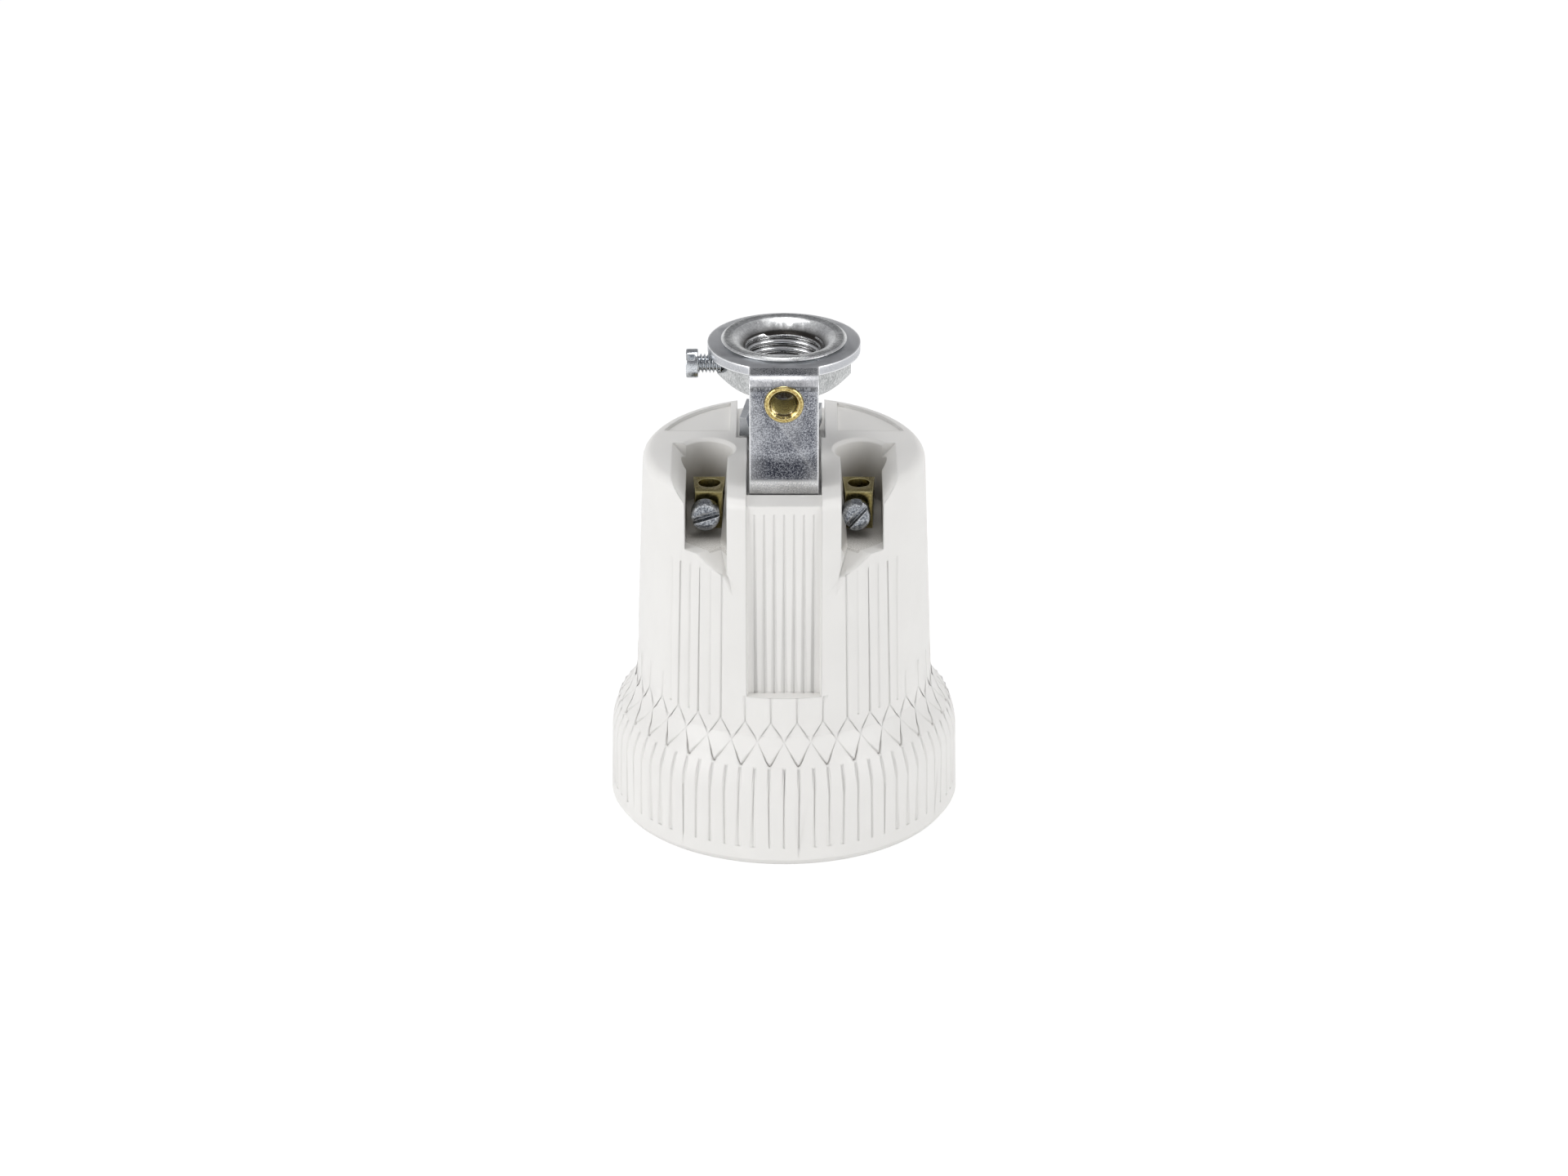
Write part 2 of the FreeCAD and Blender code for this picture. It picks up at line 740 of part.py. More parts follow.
def make_bush():
    """Brass bush riveted into the front leg, with a countersunk hole for the earth screw."""
    body = new_body("earth_bush")
    profile = outline(body, "BushProfile", "XZ_Plane", [
        ("bush_hole_r", "-strap_thick - bush_collar"),
        ("bush_r", "-strap_thick - bush_collar"),
        ("bush_r", "0"),
        ("bush_flange_r", "0"),
        ("bush_flange_r", "bush_flange_thick - 0.1"),
        ("bush_flange_r - 0.15", "bush_flange_thick"),
        ("bush_hole_r + 0.45", "bush_flange_thick"),
        ("bush_hole_r", "bush_flange_thick - 0.45"),
    ])
    body.Tip = turn(body, "Revolution", "BushTurned", profile)
    keep(body, seat(0, -size("strap_reach"), size("bush_z"), Vector(0, -1, 0)))


def make_washer():
    """Plain washer on the foot of the strap."""
    body = new_body("bracket_washer")
    rounds = [("0", "0", "washer_r"), ("0", "0", "fixing_r + running")]
    ring = circles(body, "WasherCircles", "XY_Plane", rounds)
    body.Tip = extrude(body, "Pad", "WasherPad", ring, "washer_thick")
    keep(body, Placement(Vector(0, 0, size("channel_floor + strap_thick")), Rotation()))


def make_nut():
    """Hexagon nut on the bracket screw, chamfered on top."""
    body = new_body("bracket_nut")
    corner = "(nut_half * 2 / sqrt(3))"
    sketch = new_sketch(body, "NutOutline", "XY_Plane")
    add_outline(sketch, hexagon("nut_half", corner))
    add_circle(sketch, ("0", "0"), "fixing_r + running")
    extrude(body, "Pad", "NutPad", sketch, "nut_thick")
    edge = outline(body, "NutChamferProfile", "XZ_Plane", [
        ("nut_half - 0.1", "nut_thick"),
        (corner + " + 0.5", "nut_thick"),
        (corner + " + 0.5", "nut_thick - 0.65"),
    ])
    body.Tip = turn(body, "Groove", "NutChamfer", edge)
    keep(body, Placement(Vector(0, 0, size("channel_floor + strap_thick + washer_thick")), Rotation()))


def make_saddle():
    """Earth saddle: a plate under the earth screw with its two ends turned up."""
    body = new_body("earth_saddle")
    side = outline(body, "SaddleProfile", "XZ_Plane", [
        ("-saddle_length / 2", "0"),
        ("saddle_length / 2", "0"),
        ("saddle_length / 2", "saddle_thick + saddle_ear"),
        ("saddle_length / 2 - 0.9", "saddle_thick + saddle_ear"),
        ("saddle_length / 2 - 1.2", "saddle_thick"),
        ("-saddle_length / 2 + 1.2", "saddle_thick"),
        ("-saddle_length / 2 + 0.9", "saddle_thick + saddle_ear"),
        ("-saddle_length / 2", "saddle_thick + saddle_ear"),
    ])
    extrude(body, "Pad", "SaddlePad", side, "saddle_width", both=True)
    hole = circles(body, "SaddleHole", "XY_Plane", [("0", "0", "earth_r + running")],
                   lift="saddle_thick + 1")
    body.Tip = extrude(body, "Pocket", "SaddleBore", hole, "saddle_thick + 2")
    spot = Vector(-size("earth_x"), size("earth_y"), size("channel_floor + strap_thick"))
    keep(body, Placement(spot, Rotation(Vector(0, 0, 1), -8)))


def make_block(name, side, clamp):
    """Brass terminal block: a pillar with the wire hole and a foot for the screw from below."""
    body = new_body(name)
    shape = outline(body, name + "_profile", "YZ_Plane", [
        ("-block_front", "0"),
        ("block_rear", "0"),
        ("block_rear", "block_foot"),
        ("-block_pillar", "block_foot"),
        ("-block_pillar", "block_tall"),
        ("-block_front", "block_tall"),
    ])
    extrude(body, "Pad", name + "_pad", shape, "block_width", both=True)
    wire = circles(body, name + "_wire", "XY_Plane", [("0", "-wire_y", "wire_r")],
                   lift="block_tall + 1")
    extrude(body, "Pocket", name + "_wirehole", wire, "block_tall + 2")
    stud = circles(body, name + "_stud", "XY_Plane", [("0", "0", "stud_r + running")], lift="block_foot + 1")
    extrude(body, "Pocket", name + "_studhole", stud, "block_foot + 2")
    tap = circles(body, name + "_tap", "XZ_Plane",
                  [(clamp, "clamp_z - well_floor", "clamp_r + running")], lift="wire_y")
    body.Tip = extrude(body, "Pocket", name + "_clamphole", tap, "block_front - wire_y + 1", flip=True)
    keep(body, Placement(Vector(side * size("block_x"), 0, size("well_floor")), Rotation()))


def helical_bar(name, radius):
    """Round bar that follows the lamp thread's helix."""
    across = size("shell_r + shell_wall / 4")
    rise = size("thread_start")
    helix = Part.makeHelix(size("thread_pitch"), size("thread_pitch * thread_turns"), across)
    helix.translate(Vector(0, 0, rise))
    sweep = Part.BRepOffsetAPI.MakePipeShell(Part.Wire(helix.Edges))
    sweep.setFrenetMode(True)
    sweep.add(Part.Wire([Part.makeCircle(radius, Vector(across, 0, rise), Vector(0, 1, 0))]))
    sweep.build()
    sweep.makeSolid()
    bar = doc.addObject("Part::Feature", name)
    bar.Shape = sweep.shape()
    return bar


def make_shell():
    """Screw shell: a thin tube with a rolled lamp thread, an outward lip and an inward flange."""
    body = new_body("ShellTube")
    tube = outline(body, "ShellProfile", "XZ_Plane", [
        ("shell_r", "seat_z - 0.1 - shell_wall"),
        ("shell_lip_r", "seat_z - 0.1 - shell_wall"),
        ("shell_lip_r", "seat_z - 0.1"),
        ("shell_r + shell_wall", "seat_z - 0.1"),
        ("shell_r + shell_wall", "socket_floor"),
        ("shell_flange_r", "socket_floor"),
        ("shell_flange_r", "socket_floor - shell_wall"),
        ("shell_r", "socket_floor - shell_wall"),
    ])
    turn(body, "Revolution", "ShellTurned", tube)
    holes = circles(body, "ShellHoles", "XY_Plane", [
        ("block_x", "0", "stud_r + loose / 2"),
        ("-block_x", "0", "shell_notch_r"),
    ], lift="socket_floor + 1")
    body.Tip = extrude(body, "Pocket", "ShellBores", holes, "shell_wall + 1.5")
    core = doc.addObject("Part::Cylinder", "ThreadCore")
    bind(core, "Radius", "shell_r + shell_wall * 0.6")
    bind(core, "Height", "socket_floor")
    bead = doc.addObject("Part::Common", "ThreadBead")
    bead.Base = core
    bead.Tool = helical_bar("BeadBar", size("thread_bead"))
    beaded = doc.addObject("Part::Fuse", "BeadedTube")
    beaded.Base = body
    beaded.Tool = bead
    rolled = doc.addObject("Part::Cut", "RolledTube")
    rolled.Base = beaded
    rolled.Tool = helical_bar("GrooveBar", size("thread_bead - shell_wall"))
    rolled.Label = "screw_shell"
    keep(rolled)


def make_leaf():
    """Centre contact leaf: a clamped tab, a sloped spring and a flat end under the lamp's contact."""
    body = new_body("contact_leaf")
    high = "(socket_floor - leaf_play - leaf_thick)"
    strip = outline(body, "LeafProfile", "XZ_Plane", [
        ("-block_x - leaf_tab", high),
        ("-block_x + leaf_tab", high),
        ("-leaf_tip", "leaf_z"),
        ("leaf_tip", "leaf_z"),
        ("leaf_tip", "leaf_z + leaf_thick"),
        ("-leaf_tip + leaf_thick / 3", "leaf_z + leaf_thick"),
        ("-block_x + leaf_tab + leaf_thick / 3", high + " + leaf_thick"),
        ("-block_x - leaf_tab", high + " + leaf_thick"),
    ])
    extrude(body, "Pad", "LeafPad", strip, "leaf_width", both=True)
    holes = circles(body, "LeafHoles", "XY_Plane", [
        ("-block_x", "0", "stud_r + loose"),
        ("0", "0", "button_stem_r + running"),
    ], lift="socket_floor")
    body.Tip = extrude(body, "Pocket", "LeafBores", holes, "socket_floor - leaf_z + 1")
    keep(body)


def make_button():
    """Contact button riveted through the end of the leaf."""
    body = new_body("contact_button")
    profile = outline(body, "ButtonProfile", "XZ_Plane", [
        ("0", "-button_drop"),
        ("button_r - 0.9", "-button_drop"),
        ("button_r", "-0.35"),
        ("button_r", "0"),
        ("button_stem_r", "0"),
        ("button_stem_r", "leaf_thick"),
        ("button_stem_r + 0.5", "leaf_thick"),
        ("button_stem_r + 0.2", "leaf_thick + 0.4"),
        ("0", "leaf_thick + 0.4"),
    ])
    body.Tip = turn(body, "Revolution", "ButtonTurned", profile)
    keep(body, Placement(Vector(0, 0, size("leaf_z")), Rotation()))


def make_screws():
    """All the slotted screws, each on its own seat."""
    front = Vector(0, -1, 0)
    down = Vector(0, 0, -1)
    make_screw("lock_screw", "lock", "lock_length",
               (-size("lock_seat"), 0, size("lock_z")), Vector(-1, 0, 0), 20)
    make_screw("terminal_screw_left", "clamp", "clamp_length",
               (-size("clamp_left_x"), -size("clamp_seat"), size("clamp_z")), front, 18)
    make_screw("terminal_screw_right", "clamp", "clamp_length",
               (size("clamp_right_x"), -size("clamp_seat"), size("clamp_z")), front, 50)
    make_screw("earth_screw", "earth", "earth_length",
               (-size("earth_x"), size("earth_y"), size("channel_floor + strap_thick + saddle_thick")),
               Vector(0, 0, 1), 35)
    make_screw("bracket_screw", "fixing",
               "channel_floor + strap_thick + washer_thick + nut_thick + fixing_proud"
               " - socket_floor - counterbore_deep",
               (0, 0, size("socket_floor + counterbore_deep")), down, 10)
    low = size("socket_floor - 2 * leaf_play - leaf_thick")
    make_screw("block_screw_left", "stud",
               "well_floor + block_foot - socket_floor + 2 * leaf_play + leaf_thick",
               (-size("block_x"), 0, low), down, 0)
    make_screw("block_screw_right", "stud",
               "well_floor + block_foot - socket_floor + shell_wall",
               (size("block_x"), 0, size("socket_floor - shell_wall")), down, 60)


def check_and_write():
    """Refuse a failed or broken piece, then write each one to its own file."""
    doc.recompute()
    for item in doc.Objects:
        if "Invalid" in item.State or "Error" in item.State:
            raise RuntimeError("%s is %s" % (item.Name, item.State))
    os.makedirs("parts", exist_ok=True)
    for item in PARTS:
        shape = item.Shape
        if shape.isNull() or not shape.isValid() or not shape.Solids:
            raise RuntimeError("%s has a broken shape" % item.Label)
        shape.exportStep(os.path.join("parts", item.Label + ".step"))
        box = shape.BoundBox
        print("%-22s solids %d faces %4d volume %9.1f  x %6.2f..%6.2f y %6.2f..%6.2f z %6.2f..%6.2f" % (
            item.Label, len(shape.Solids), len(shape.Faces), shape.Volume,
            box.XMin, box.XMax, box.YMin, box.YMax, box.ZMin, box.ZMax))


fill_sheet()
make_porcelain()
make_strap()
make_ring()
make_bush()
make_washer()
make_nut()
make_saddle()
make_block("terminal_block_left", -1, "block_x - clamp_left_x")
make_block("terminal_block_right", 1, "clamp_right_x - block_x")
make_screws()
make_shell()
make_leaf()
make_button()
check_and_write()
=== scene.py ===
import logging
import math
from dataclasses import dataclass
from enum import Enum
from typing import Callable, Iterable

import bmesh
import bpy
from mathutils import Matrix, Vector


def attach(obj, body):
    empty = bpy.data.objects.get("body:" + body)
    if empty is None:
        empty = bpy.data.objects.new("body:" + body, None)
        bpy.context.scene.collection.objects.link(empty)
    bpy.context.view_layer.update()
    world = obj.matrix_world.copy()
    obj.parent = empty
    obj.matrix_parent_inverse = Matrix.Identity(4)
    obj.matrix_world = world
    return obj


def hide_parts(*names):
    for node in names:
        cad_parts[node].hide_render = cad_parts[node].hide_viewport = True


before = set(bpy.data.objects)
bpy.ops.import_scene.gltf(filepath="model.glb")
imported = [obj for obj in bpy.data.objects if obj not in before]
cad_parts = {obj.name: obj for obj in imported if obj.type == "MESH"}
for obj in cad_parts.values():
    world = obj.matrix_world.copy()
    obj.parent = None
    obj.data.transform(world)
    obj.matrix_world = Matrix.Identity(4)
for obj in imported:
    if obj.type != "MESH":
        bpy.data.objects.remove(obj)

# Porcelain lamp holder with a zinc-plated strap bracket, dressed over its fixed frame.
# Sizes in the classes are millimetres, as on a workshop drawing; the scene itself is in metres.
# The terminal windows face -Y, which is the front.

LOG = logging.getLogger("lamp_holder")
MM = 0.001
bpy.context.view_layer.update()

# Millimetres on the bench: points closer than TOUCH are one, points within NEAR of a plane lie on it,
# and corners within END of the furthest one make up an end of a piece.
TOUCH = 1e-4
NEAR = 1e-3
END = 0.01

Colour = tuple[float, float, float]
Point = tuple[float, float, float]


def lie_along(way: Point) -> Matrix:
    """Returns the turn that lays +Z along a way."""
    return Vector((0, 0, 1)).rotation_difference(Vector(way)).to_matrix().to_4x4()


class Slot(Enum):
    """Material slots of the record that the made pieces take their finish from."""

    PORCELAIN = "porcelain"
    STRAP = "plated_strap"
    RING = "plated_ring"
    STEEL = "plated_steel"
    BUSH = "bush_brass"
    TERMINAL = "terminal_brass"
    CONTACT = "contact_brass"


class SheetOfNodes:
    """Node tree of one material, with short calls for adding and joining nodes."""

    streak_squash: float = 0.12
    edge_samples: int = 6
    # Cosines between the rounded and the flat normal over which the painted edge highlight fades out.
    highlight_cosines: tuple[float, float] = (0.93, 0.996)

    def __init__(self, name: str) -> None:
        """Starts an empty tree.

        Args:
            name: Name of the material.
        """
        self.material = bpy.data.materials.new(name)
        self.material.use_nodes = True
        self.tree = self.material.node_tree
        self.tree.nodes.clear()
        self.coords = self.add("ShaderNodeTexCoord")
        self.axes: bpy.types.Node | None = None
        self.place = self.add("ShaderNodeMapping")
        self.join(self.coords.outputs["Object"], self.place.inputs["Vector"])

    def add(self, kind: str, **inputs: object) -> bpy.types.Node:
        """Adds a node and sets its inputs.

        Args:
            kind: Type name of the node.
            **inputs: Values by input name, with underscores for spaces.

        Returns:
            The new node.
        """
        node = self.tree.nodes.new(kind)
        for key, value in inputs.items():
            node.inputs[key.replace("_", " ")].default_value = value
        return node

    def join(self, source: bpy.types.NodeSocket, target: bpy.types.NodeSocket) -> None:
        """Joins an output to an input."""
        self.tree.links.new(source, target)

    def noise(self, grain_mm: float, detail: float = 2.0, rough: float = 0.5) -> bpy.types.NodeSocket:
        """Adds noise of a given grain.

        Args:
            grain_mm: Size of one grain in millimetres.
            detail: Number of finer layers.
            rough: Share of the finer layers.

        Returns:
            The noise value socket.
        """
        node = self.add("ShaderNodeTexNoise", Scale=1.0 / (grain_mm * MM), Detail=detail, Roughness=rough)
        self.join(self.place.outputs["Vector"], node.inputs["Vector"])
        return node.outputs["Fac"]

    def streaks(self, grain_mm: float) -> bpy.types.NodeSocket:
        """Adds noise drawn out along Z.

        Args:
            grain_mm: Width of one streak in millimetres.

        Returns:
            The noise value socket.
        """
        drawn = self.add("ShaderNodeMapping")
        drawn.inputs["Scale"].default_value = (1.0, 1.0, self.streak_squash)
        self.join(self.coords.outputs["Object"], drawn.inputs["Vector"])
        node = self.add("ShaderNodeTexNoise", Scale=1.0 / (grain_mm * MM), Detail=1.0, Roughness=0.5)
        self.join(drawn.outputs["Vector"], node.inputs["Vector"])
        return node.outputs["Fac"]

    def spread(self, value: bpy.types.NodeSocket, low: float, high: float,
               start: float = 0.3, end: float = 0.7) -> bpy.types.NodeSocket:
        """Maps a value from start..end to low..high.

        Args:
            value: Socket to map.
            low: Result at start.
            high: Result at end.
            start: Lower end of the value.
            end: Upper end of the value.

        Returns:
            The mapped socket.
        """
        node = self.add("ShaderNodeMapRange")
        node.inputs["From Min"].default_value = start
        node.inputs["From Max"].default_value = end
        node.inputs["To Min"].default_value = low
        node.inputs["To Max"].default_value = high
        self.join(value, node.inputs["Value"])
        return node.outputs["Result"]

    def math(self, kind: str, first: object, second: object = 0.0) -> bpy.types.NodeSocket:
        """Adds a math node.

        Args:
            kind: Operation name.
            first: Socket or number.
            second: Socket or number.

        Returns:
            The result socket.
        """
        node = self.add("ShaderNodeMath")
        node.operation = kind
        for place, value in zip(node.inputs, (first, second)):
            if isinstance(value, (int, float)):
                place.default_value = value
            else:
                self.join(value, place)
        return node.outputs["Value"]

    def blend(self, share: bpy.types.NodeSocket, first: object, second: object) -> bpy.types.NodeSocket:
        """Mixes two colours by a share.

        Args:
            share: Socket from 0 to 1.
            first: Colour or socket at 0.
            second: Colour or socket at 1.

        Returns:
            The mixed colour socket.
        """
        node = self.add("ShaderNodeMix")
        node.data_type = "RGBA"
        self.join(share, node.inputs["Factor"])
        for place, value in ((node.inputs[6], first), (node.inputs[7], second)):
            if isinstance(value, tuple):
                place.default_value = (*value, 1.0)
            else:
                self.join(value, place)
        return node.outputs[2]

    def axis(self, letter: str) -> bpy.types.NodeSocket:
        """Picks one object coordinate.

        Args:
            letter: X, Y or Z.

        Returns:
            The coordinate socket, in metres.
        """
        if self.axes is None:
            self.axes = self.add("ShaderNodeSeparateXYZ")
            self.join(self.coords.outputs["Object"], self.axes.inputs["Vector"])
        return self.axes.outputs[letter]

    def square_sum(self, first: bpy.types.NodeSocket, second: bpy.types.NodeSocket) -> bpy.types.NodeSocket:
        """Adds the squares of two values."""
        return self.math("ADD", self.math("POWER", first, 2.0), self.math("POWER", second, 2.0))

    def within(self, value: bpy.types.NodeSocket, low_mm: float, high_mm: float,
               fade_mm: float) -> bpy.types.NodeSocket:
        """Marks a band of a coordinate with soft borders.

        Args:
            value: Coordinate in metres.
            low_mm: Middle of the lower border.
            high_mm: Middle of the upper border.
            fade_mm: Width of each border.

        Returns:
            A socket that is 1 in the band and 0 outside it.
        """
        half = fade_mm / 2
        rise = self.spread(value, 0.0, 1.0, (low_mm - half) * MM, (low_mm + half) * MM)
        fall = self.spread(value, 1.0, 0.0, (high_mm - half) * MM, (high_mm + half) * MM)
        return self.math("MULTIPLY", rise, fall)

    def soft_edges(self, radius_mm: float) -> bpy.types.NodeSocket:
        """Adds rounded edges in the shading.

        Args:
            radius_mm: Radius of the edges in millimetres.

        Returns:
            The normal socket.
        """
        node = self.add("ShaderNodeBevel", Radius=radius_mm * MM)
        node.samples = self.edge_samples
        return node.outputs["Normal"]

    def edge_highlight_share(self, radius_mm: float) -> bpy.types.NodeSocket:
        """Marks a strip along the sharp edges, which gets a painted highlight.

        Args:
            radius_mm: Width of the strip in millimetres.

        Returns:
            A socket that is 1 on the edges.
        """
        facing = self.add("ShaderNodeVectorMath")
        facing.operation = "DOT_PRODUCT"
        self.join(self.soft_edges(radius_mm), facing.inputs[0])
        self.join(self.add("ShaderNodeNewGeometry").outputs["True Normal"], facing.inputs[1])
        return self.spread(facing.outputs["Value"], 1.0, 0.0, *self.highlight_cosines)

    def bump(self, height: bpy.types.NodeSocket, deep_mm: float,
             normal: bpy.types.NodeSocket | None = None) -> bpy.types.NodeSocket:
        """Adds surface relief from a height.

        Args:
            height: Height socket from 0 to 1.
            deep_mm: Depth of the relief in millimetres.
            normal: Normal socket to start from.

        Returns:
            The normal socket.
        """
        node = self.add("ShaderNodeBump", Strength=1.0, Distance=deep_mm * MM)
        self.join(height, node.inputs["Height"])
        if normal is not None:
            self.join(normal, node.inputs["Normal"])
        return node.outputs["Normal"]

    def surface(self, **inputs: object) -> bpy.types.Node:
        """Adds the main shader and joins it to the output.

        Args:
            **inputs: Constant values by input name, with underscores for spaces.

        Returns:
            The shader node.
        """
        shader = self.add("ShaderNodeBsdfPrincipled", **inputs)
        out = self.add("ShaderNodeOutputMaterial")
        self.join(shader.outputs["BSDF"], out.inputs["Surface"])
        return shader


@dataclass(frozen=True)
class GlazedPorcelain:
    """White porcelain under a soft glaze, with painted shade down the terminal wells and bare clay on their
    floors.
    """

    name: str = "glazed_porcelain"
    light: Colour = (0.83, 0.82, 0.795)
    shade: Colour = (0.81, 0.80, 0.775)
    bare: Colour = (0.62, 0.60, 0.56)
    # Painted shade down the terminal wells, strongest at their floors.
    deep: Colour = (0.26, 0.24, 0.21)
    well_shade_share: float = 0.75
    rough_range: tuple[float, float] = (0.39, 0.52)
    bare_rough: float = 0.4
    coat: float = 0.10
    coat_rough: float = 0.30
    edge_mm: float = 0.30
    cloud_mm: float = 7.0
    patch_mm: float = 2.2
    grit_mm: float = 0.16
    grit_deep_mm: float = 0.05
    grit_range: tuple[float, float] = (0.42, 0.62)
    ripple_mm: float = 2.6
    ripple_deep_mm: float = 0.010
    pore_mm: float = 0.5
    pore_deep_mm: float = 0.006
    floor_z: float = 40.0
    floor_low: float = 38.5
    floor_high: float = 40.5
    shade_top: float = 47.5
    bare_front: float = -12.5
    bare_rear: float = -8.5
    well_r: float = 16.6
    well_x: float = 9.75
    well_half: float = 3.6
    well_front: float = -15.2
    well_rear: float = 4.0

    def make(self) -> bpy.types.Material:
        """Makes the material.

        Returns:
            The finished material.
        """
        nodes = SheetOfNodes(self.name)
        shader = nodes.surface(Coat_Weight=self.coat, Coat_Roughness=self.coat_rough)
        well = self.well_share(nodes)
        floor = nodes.within(nodes.axis("Z"), self.floor_low, self.floor_high, 0.6)
        bare = nodes.math("MULTIPLY", well, floor)
        grit = nodes.noise(self.grit_mm, 2.0, 0.7)
        nodes.join(self.tone(nodes, well, bare, grit), shader.inputs["Base Color"])
        rough = nodes.spread(nodes.noise(self.patch_mm, 2.0), *self.rough_range)
        rough = nodes.math("ADD", rough, nodes.math("MULTIPLY", bare, self.bare_rough))
        nodes.join(rough, shader.inputs["Roughness"])
        normal = nodes.soft_edges(self.edge_mm)
        normal = nodes.bump(nodes.noise(self.ripple_mm, 1.0), self.ripple_deep_mm, normal)
        normal = nodes.bump(nodes.noise(self.pore_mm, 2.0), self.pore_deep_mm, normal)
        normal = nodes.bump(nodes.math("MULTIPLY", grit, bare), self.grit_deep_mm, normal)
        nodes.join(normal, shader.inputs["Normal"])
        return nodes.material

    def tone(self, nodes: SheetOfNodes, well: bpy.types.NodeSocket, bare: bpy.types.NodeSocket,
             grit: bpy.types.NodeSocket) -> bpy.types.NodeSocket:
        """Mixes the colour: cloudy white outside, painted shade down the wells, strongest low down, and
        gritty bare clay on their floors.

        Args:
            nodes: Tree to add to.
            well: Share of the inside of the wells.
            bare: Share of the floors of the wells.
            grit: Fine noise of the bare clay.

        Returns:
            The colour socket.
        """
        cloud = nodes.spread(nodes.noise(self.cloud_mm, 3.0), 0.0, 1.0)
        clay = nodes.blend(cloud, self.light, self.shade)
        # Painted shade in the wells: strongest at the floor, gone at shade_top.
        shade_by_height = nodes.spread(nodes.axis("Z"), self.well_shade_share, 0.0, self.floor_z * MM, self.shade_top * MM)
        shaded = nodes.blend(nodes.math("MULTIPLY", well, shade_by_height), clay, self.deep)
        gritty = nodes.blend(nodes.spread(grit, 0.0, 1.0, *self.grit_range), self.bare, self.light)
        # The bare clay fades towards the rear of each floor, where the painted shade takes over.
        open_end = nodes.spread(nodes.axis("Y"), 1.0, 0.25, self.bare_front * MM, self.bare_rear * MM)
        return nodes.blend(nodes.math("MULTIPLY", bare, open_end), shaded, gritty)

    def well_share(self, nodes: SheetOfNodes) -> bpy.types.NodeSocket:
        """Marks the inside of the terminal wells, which gets painted shade and, on the floors, bare clay.

        Args:
            nodes: Tree to add to.

        Returns:
            A socket that is 1 inside the wells.
        """
        side = nodes.math("ABSOLUTE", nodes.axis("X"))
        across = nodes.within(side, self.well_x - self.well_half, self.well_x + self.well_half, 0.4)
        along = nodes.within(nodes.axis("Y"), self.well_front, self.well_rear, 0.8)
        inside = nodes.math("MULTIPLY", across, along)
        above = nodes.within(nodes.axis("Z"), self.floor_z - 0.25, 60.0, 0.2)
        square = nodes.square_sum(nodes.axis("X"), nodes.axis("Y"))
        near = nodes.math("LESS_THAN", square, (self.well_r * MM) ** 2)
        return nodes.math("MULTIPLY", inside, nodes.math("MULTIPLY", above, near))


@dataclass(frozen=True)
class PaintedBand:
    """Part of a piece between two heights, or in front of a place too, with its own gloss and a painted tone
    of light or shade.
    """

    low: float
    high: float
    fade: float
    tone: Colour
    share: float
    rough: float
    front: float | None = None
    streaks: bool = False

    def mask(self, nodes: SheetOfNodes) -> bpy.types.NodeSocket:
        """Marks the band.

        Args:
            nodes: Tree to add to.

        Returns:
            A socket that is 1 in the band.
        """
        mask = nodes.within(nodes.axis("Z"), self.low, self.high, self.fade)
        if self.front is None:
            return mask
        ahead = nodes.math("LESS_THAN", nodes.axis("Y"), self.front * MM)
        return nodes.math("MULTIPLY", mask, ahead)

    def speckled(self, nodes: SheetOfNodes, mask: bpy.types.NodeSocket, grain: bpy.types.NodeSocket,
                 grain_mm: float) -> bpy.types.NodeSocket:
        """Breaks the band up with grain, or with streaks down the sheet.

        Args:
            nodes: Tree to add to.
            mask: The band's mask.
            grain: Grain of the metal.
            grain_mm: Size of one grain in millimetres.

        Returns:
            The share of the band's tone.
        """
        fleck = nodes.streaks(grain_mm) if self.streaks else grain
        most = min(self.share * 1.15, 1.0)
        least = self.share * (0.2 if self.streaks else 0.5)
        return nodes.math("MULTIPLY", mask, nodes.spread(fleck, most, least, 0.4, 0.6))


@dataclass(frozen=True)
class BoreShade:
    """Painted shade inside a bore along Z or Y that reaches a radius from its axis."""

    reach: float
    tone: Colour
    axis: str = "Z"
    centre_z: float = 0.0
    top: float = 100.0
    fade: float = 0.2

    def share(self, nodes: SheetOfNodes) -> bpy.types.NodeSocket:
        """Marks the inside of the bore, where the shade is painted.

        Args:
            nodes: Tree to add to.

        Returns:
            A socket that is 1 in the bore.
        """
        if self.axis == "Z":
            other = nodes.axis("Y")
        else:
            other = nodes.math("SUBTRACT", nodes.axis("Z"), self.centre_z * MM)
        radius = nodes.math("SQRT", nodes.square_sum(nodes.axis("X"), other))
        half = self.fade / 2
        inside = nodes.spread(radius, 1.0, 0.0, (self.reach - half) * MM, (self.reach + half) * MM)
        return nodes.math("MULTIPLY", inside, nodes.within(nodes.axis("Z"), -1.0, self.top, 0.4))


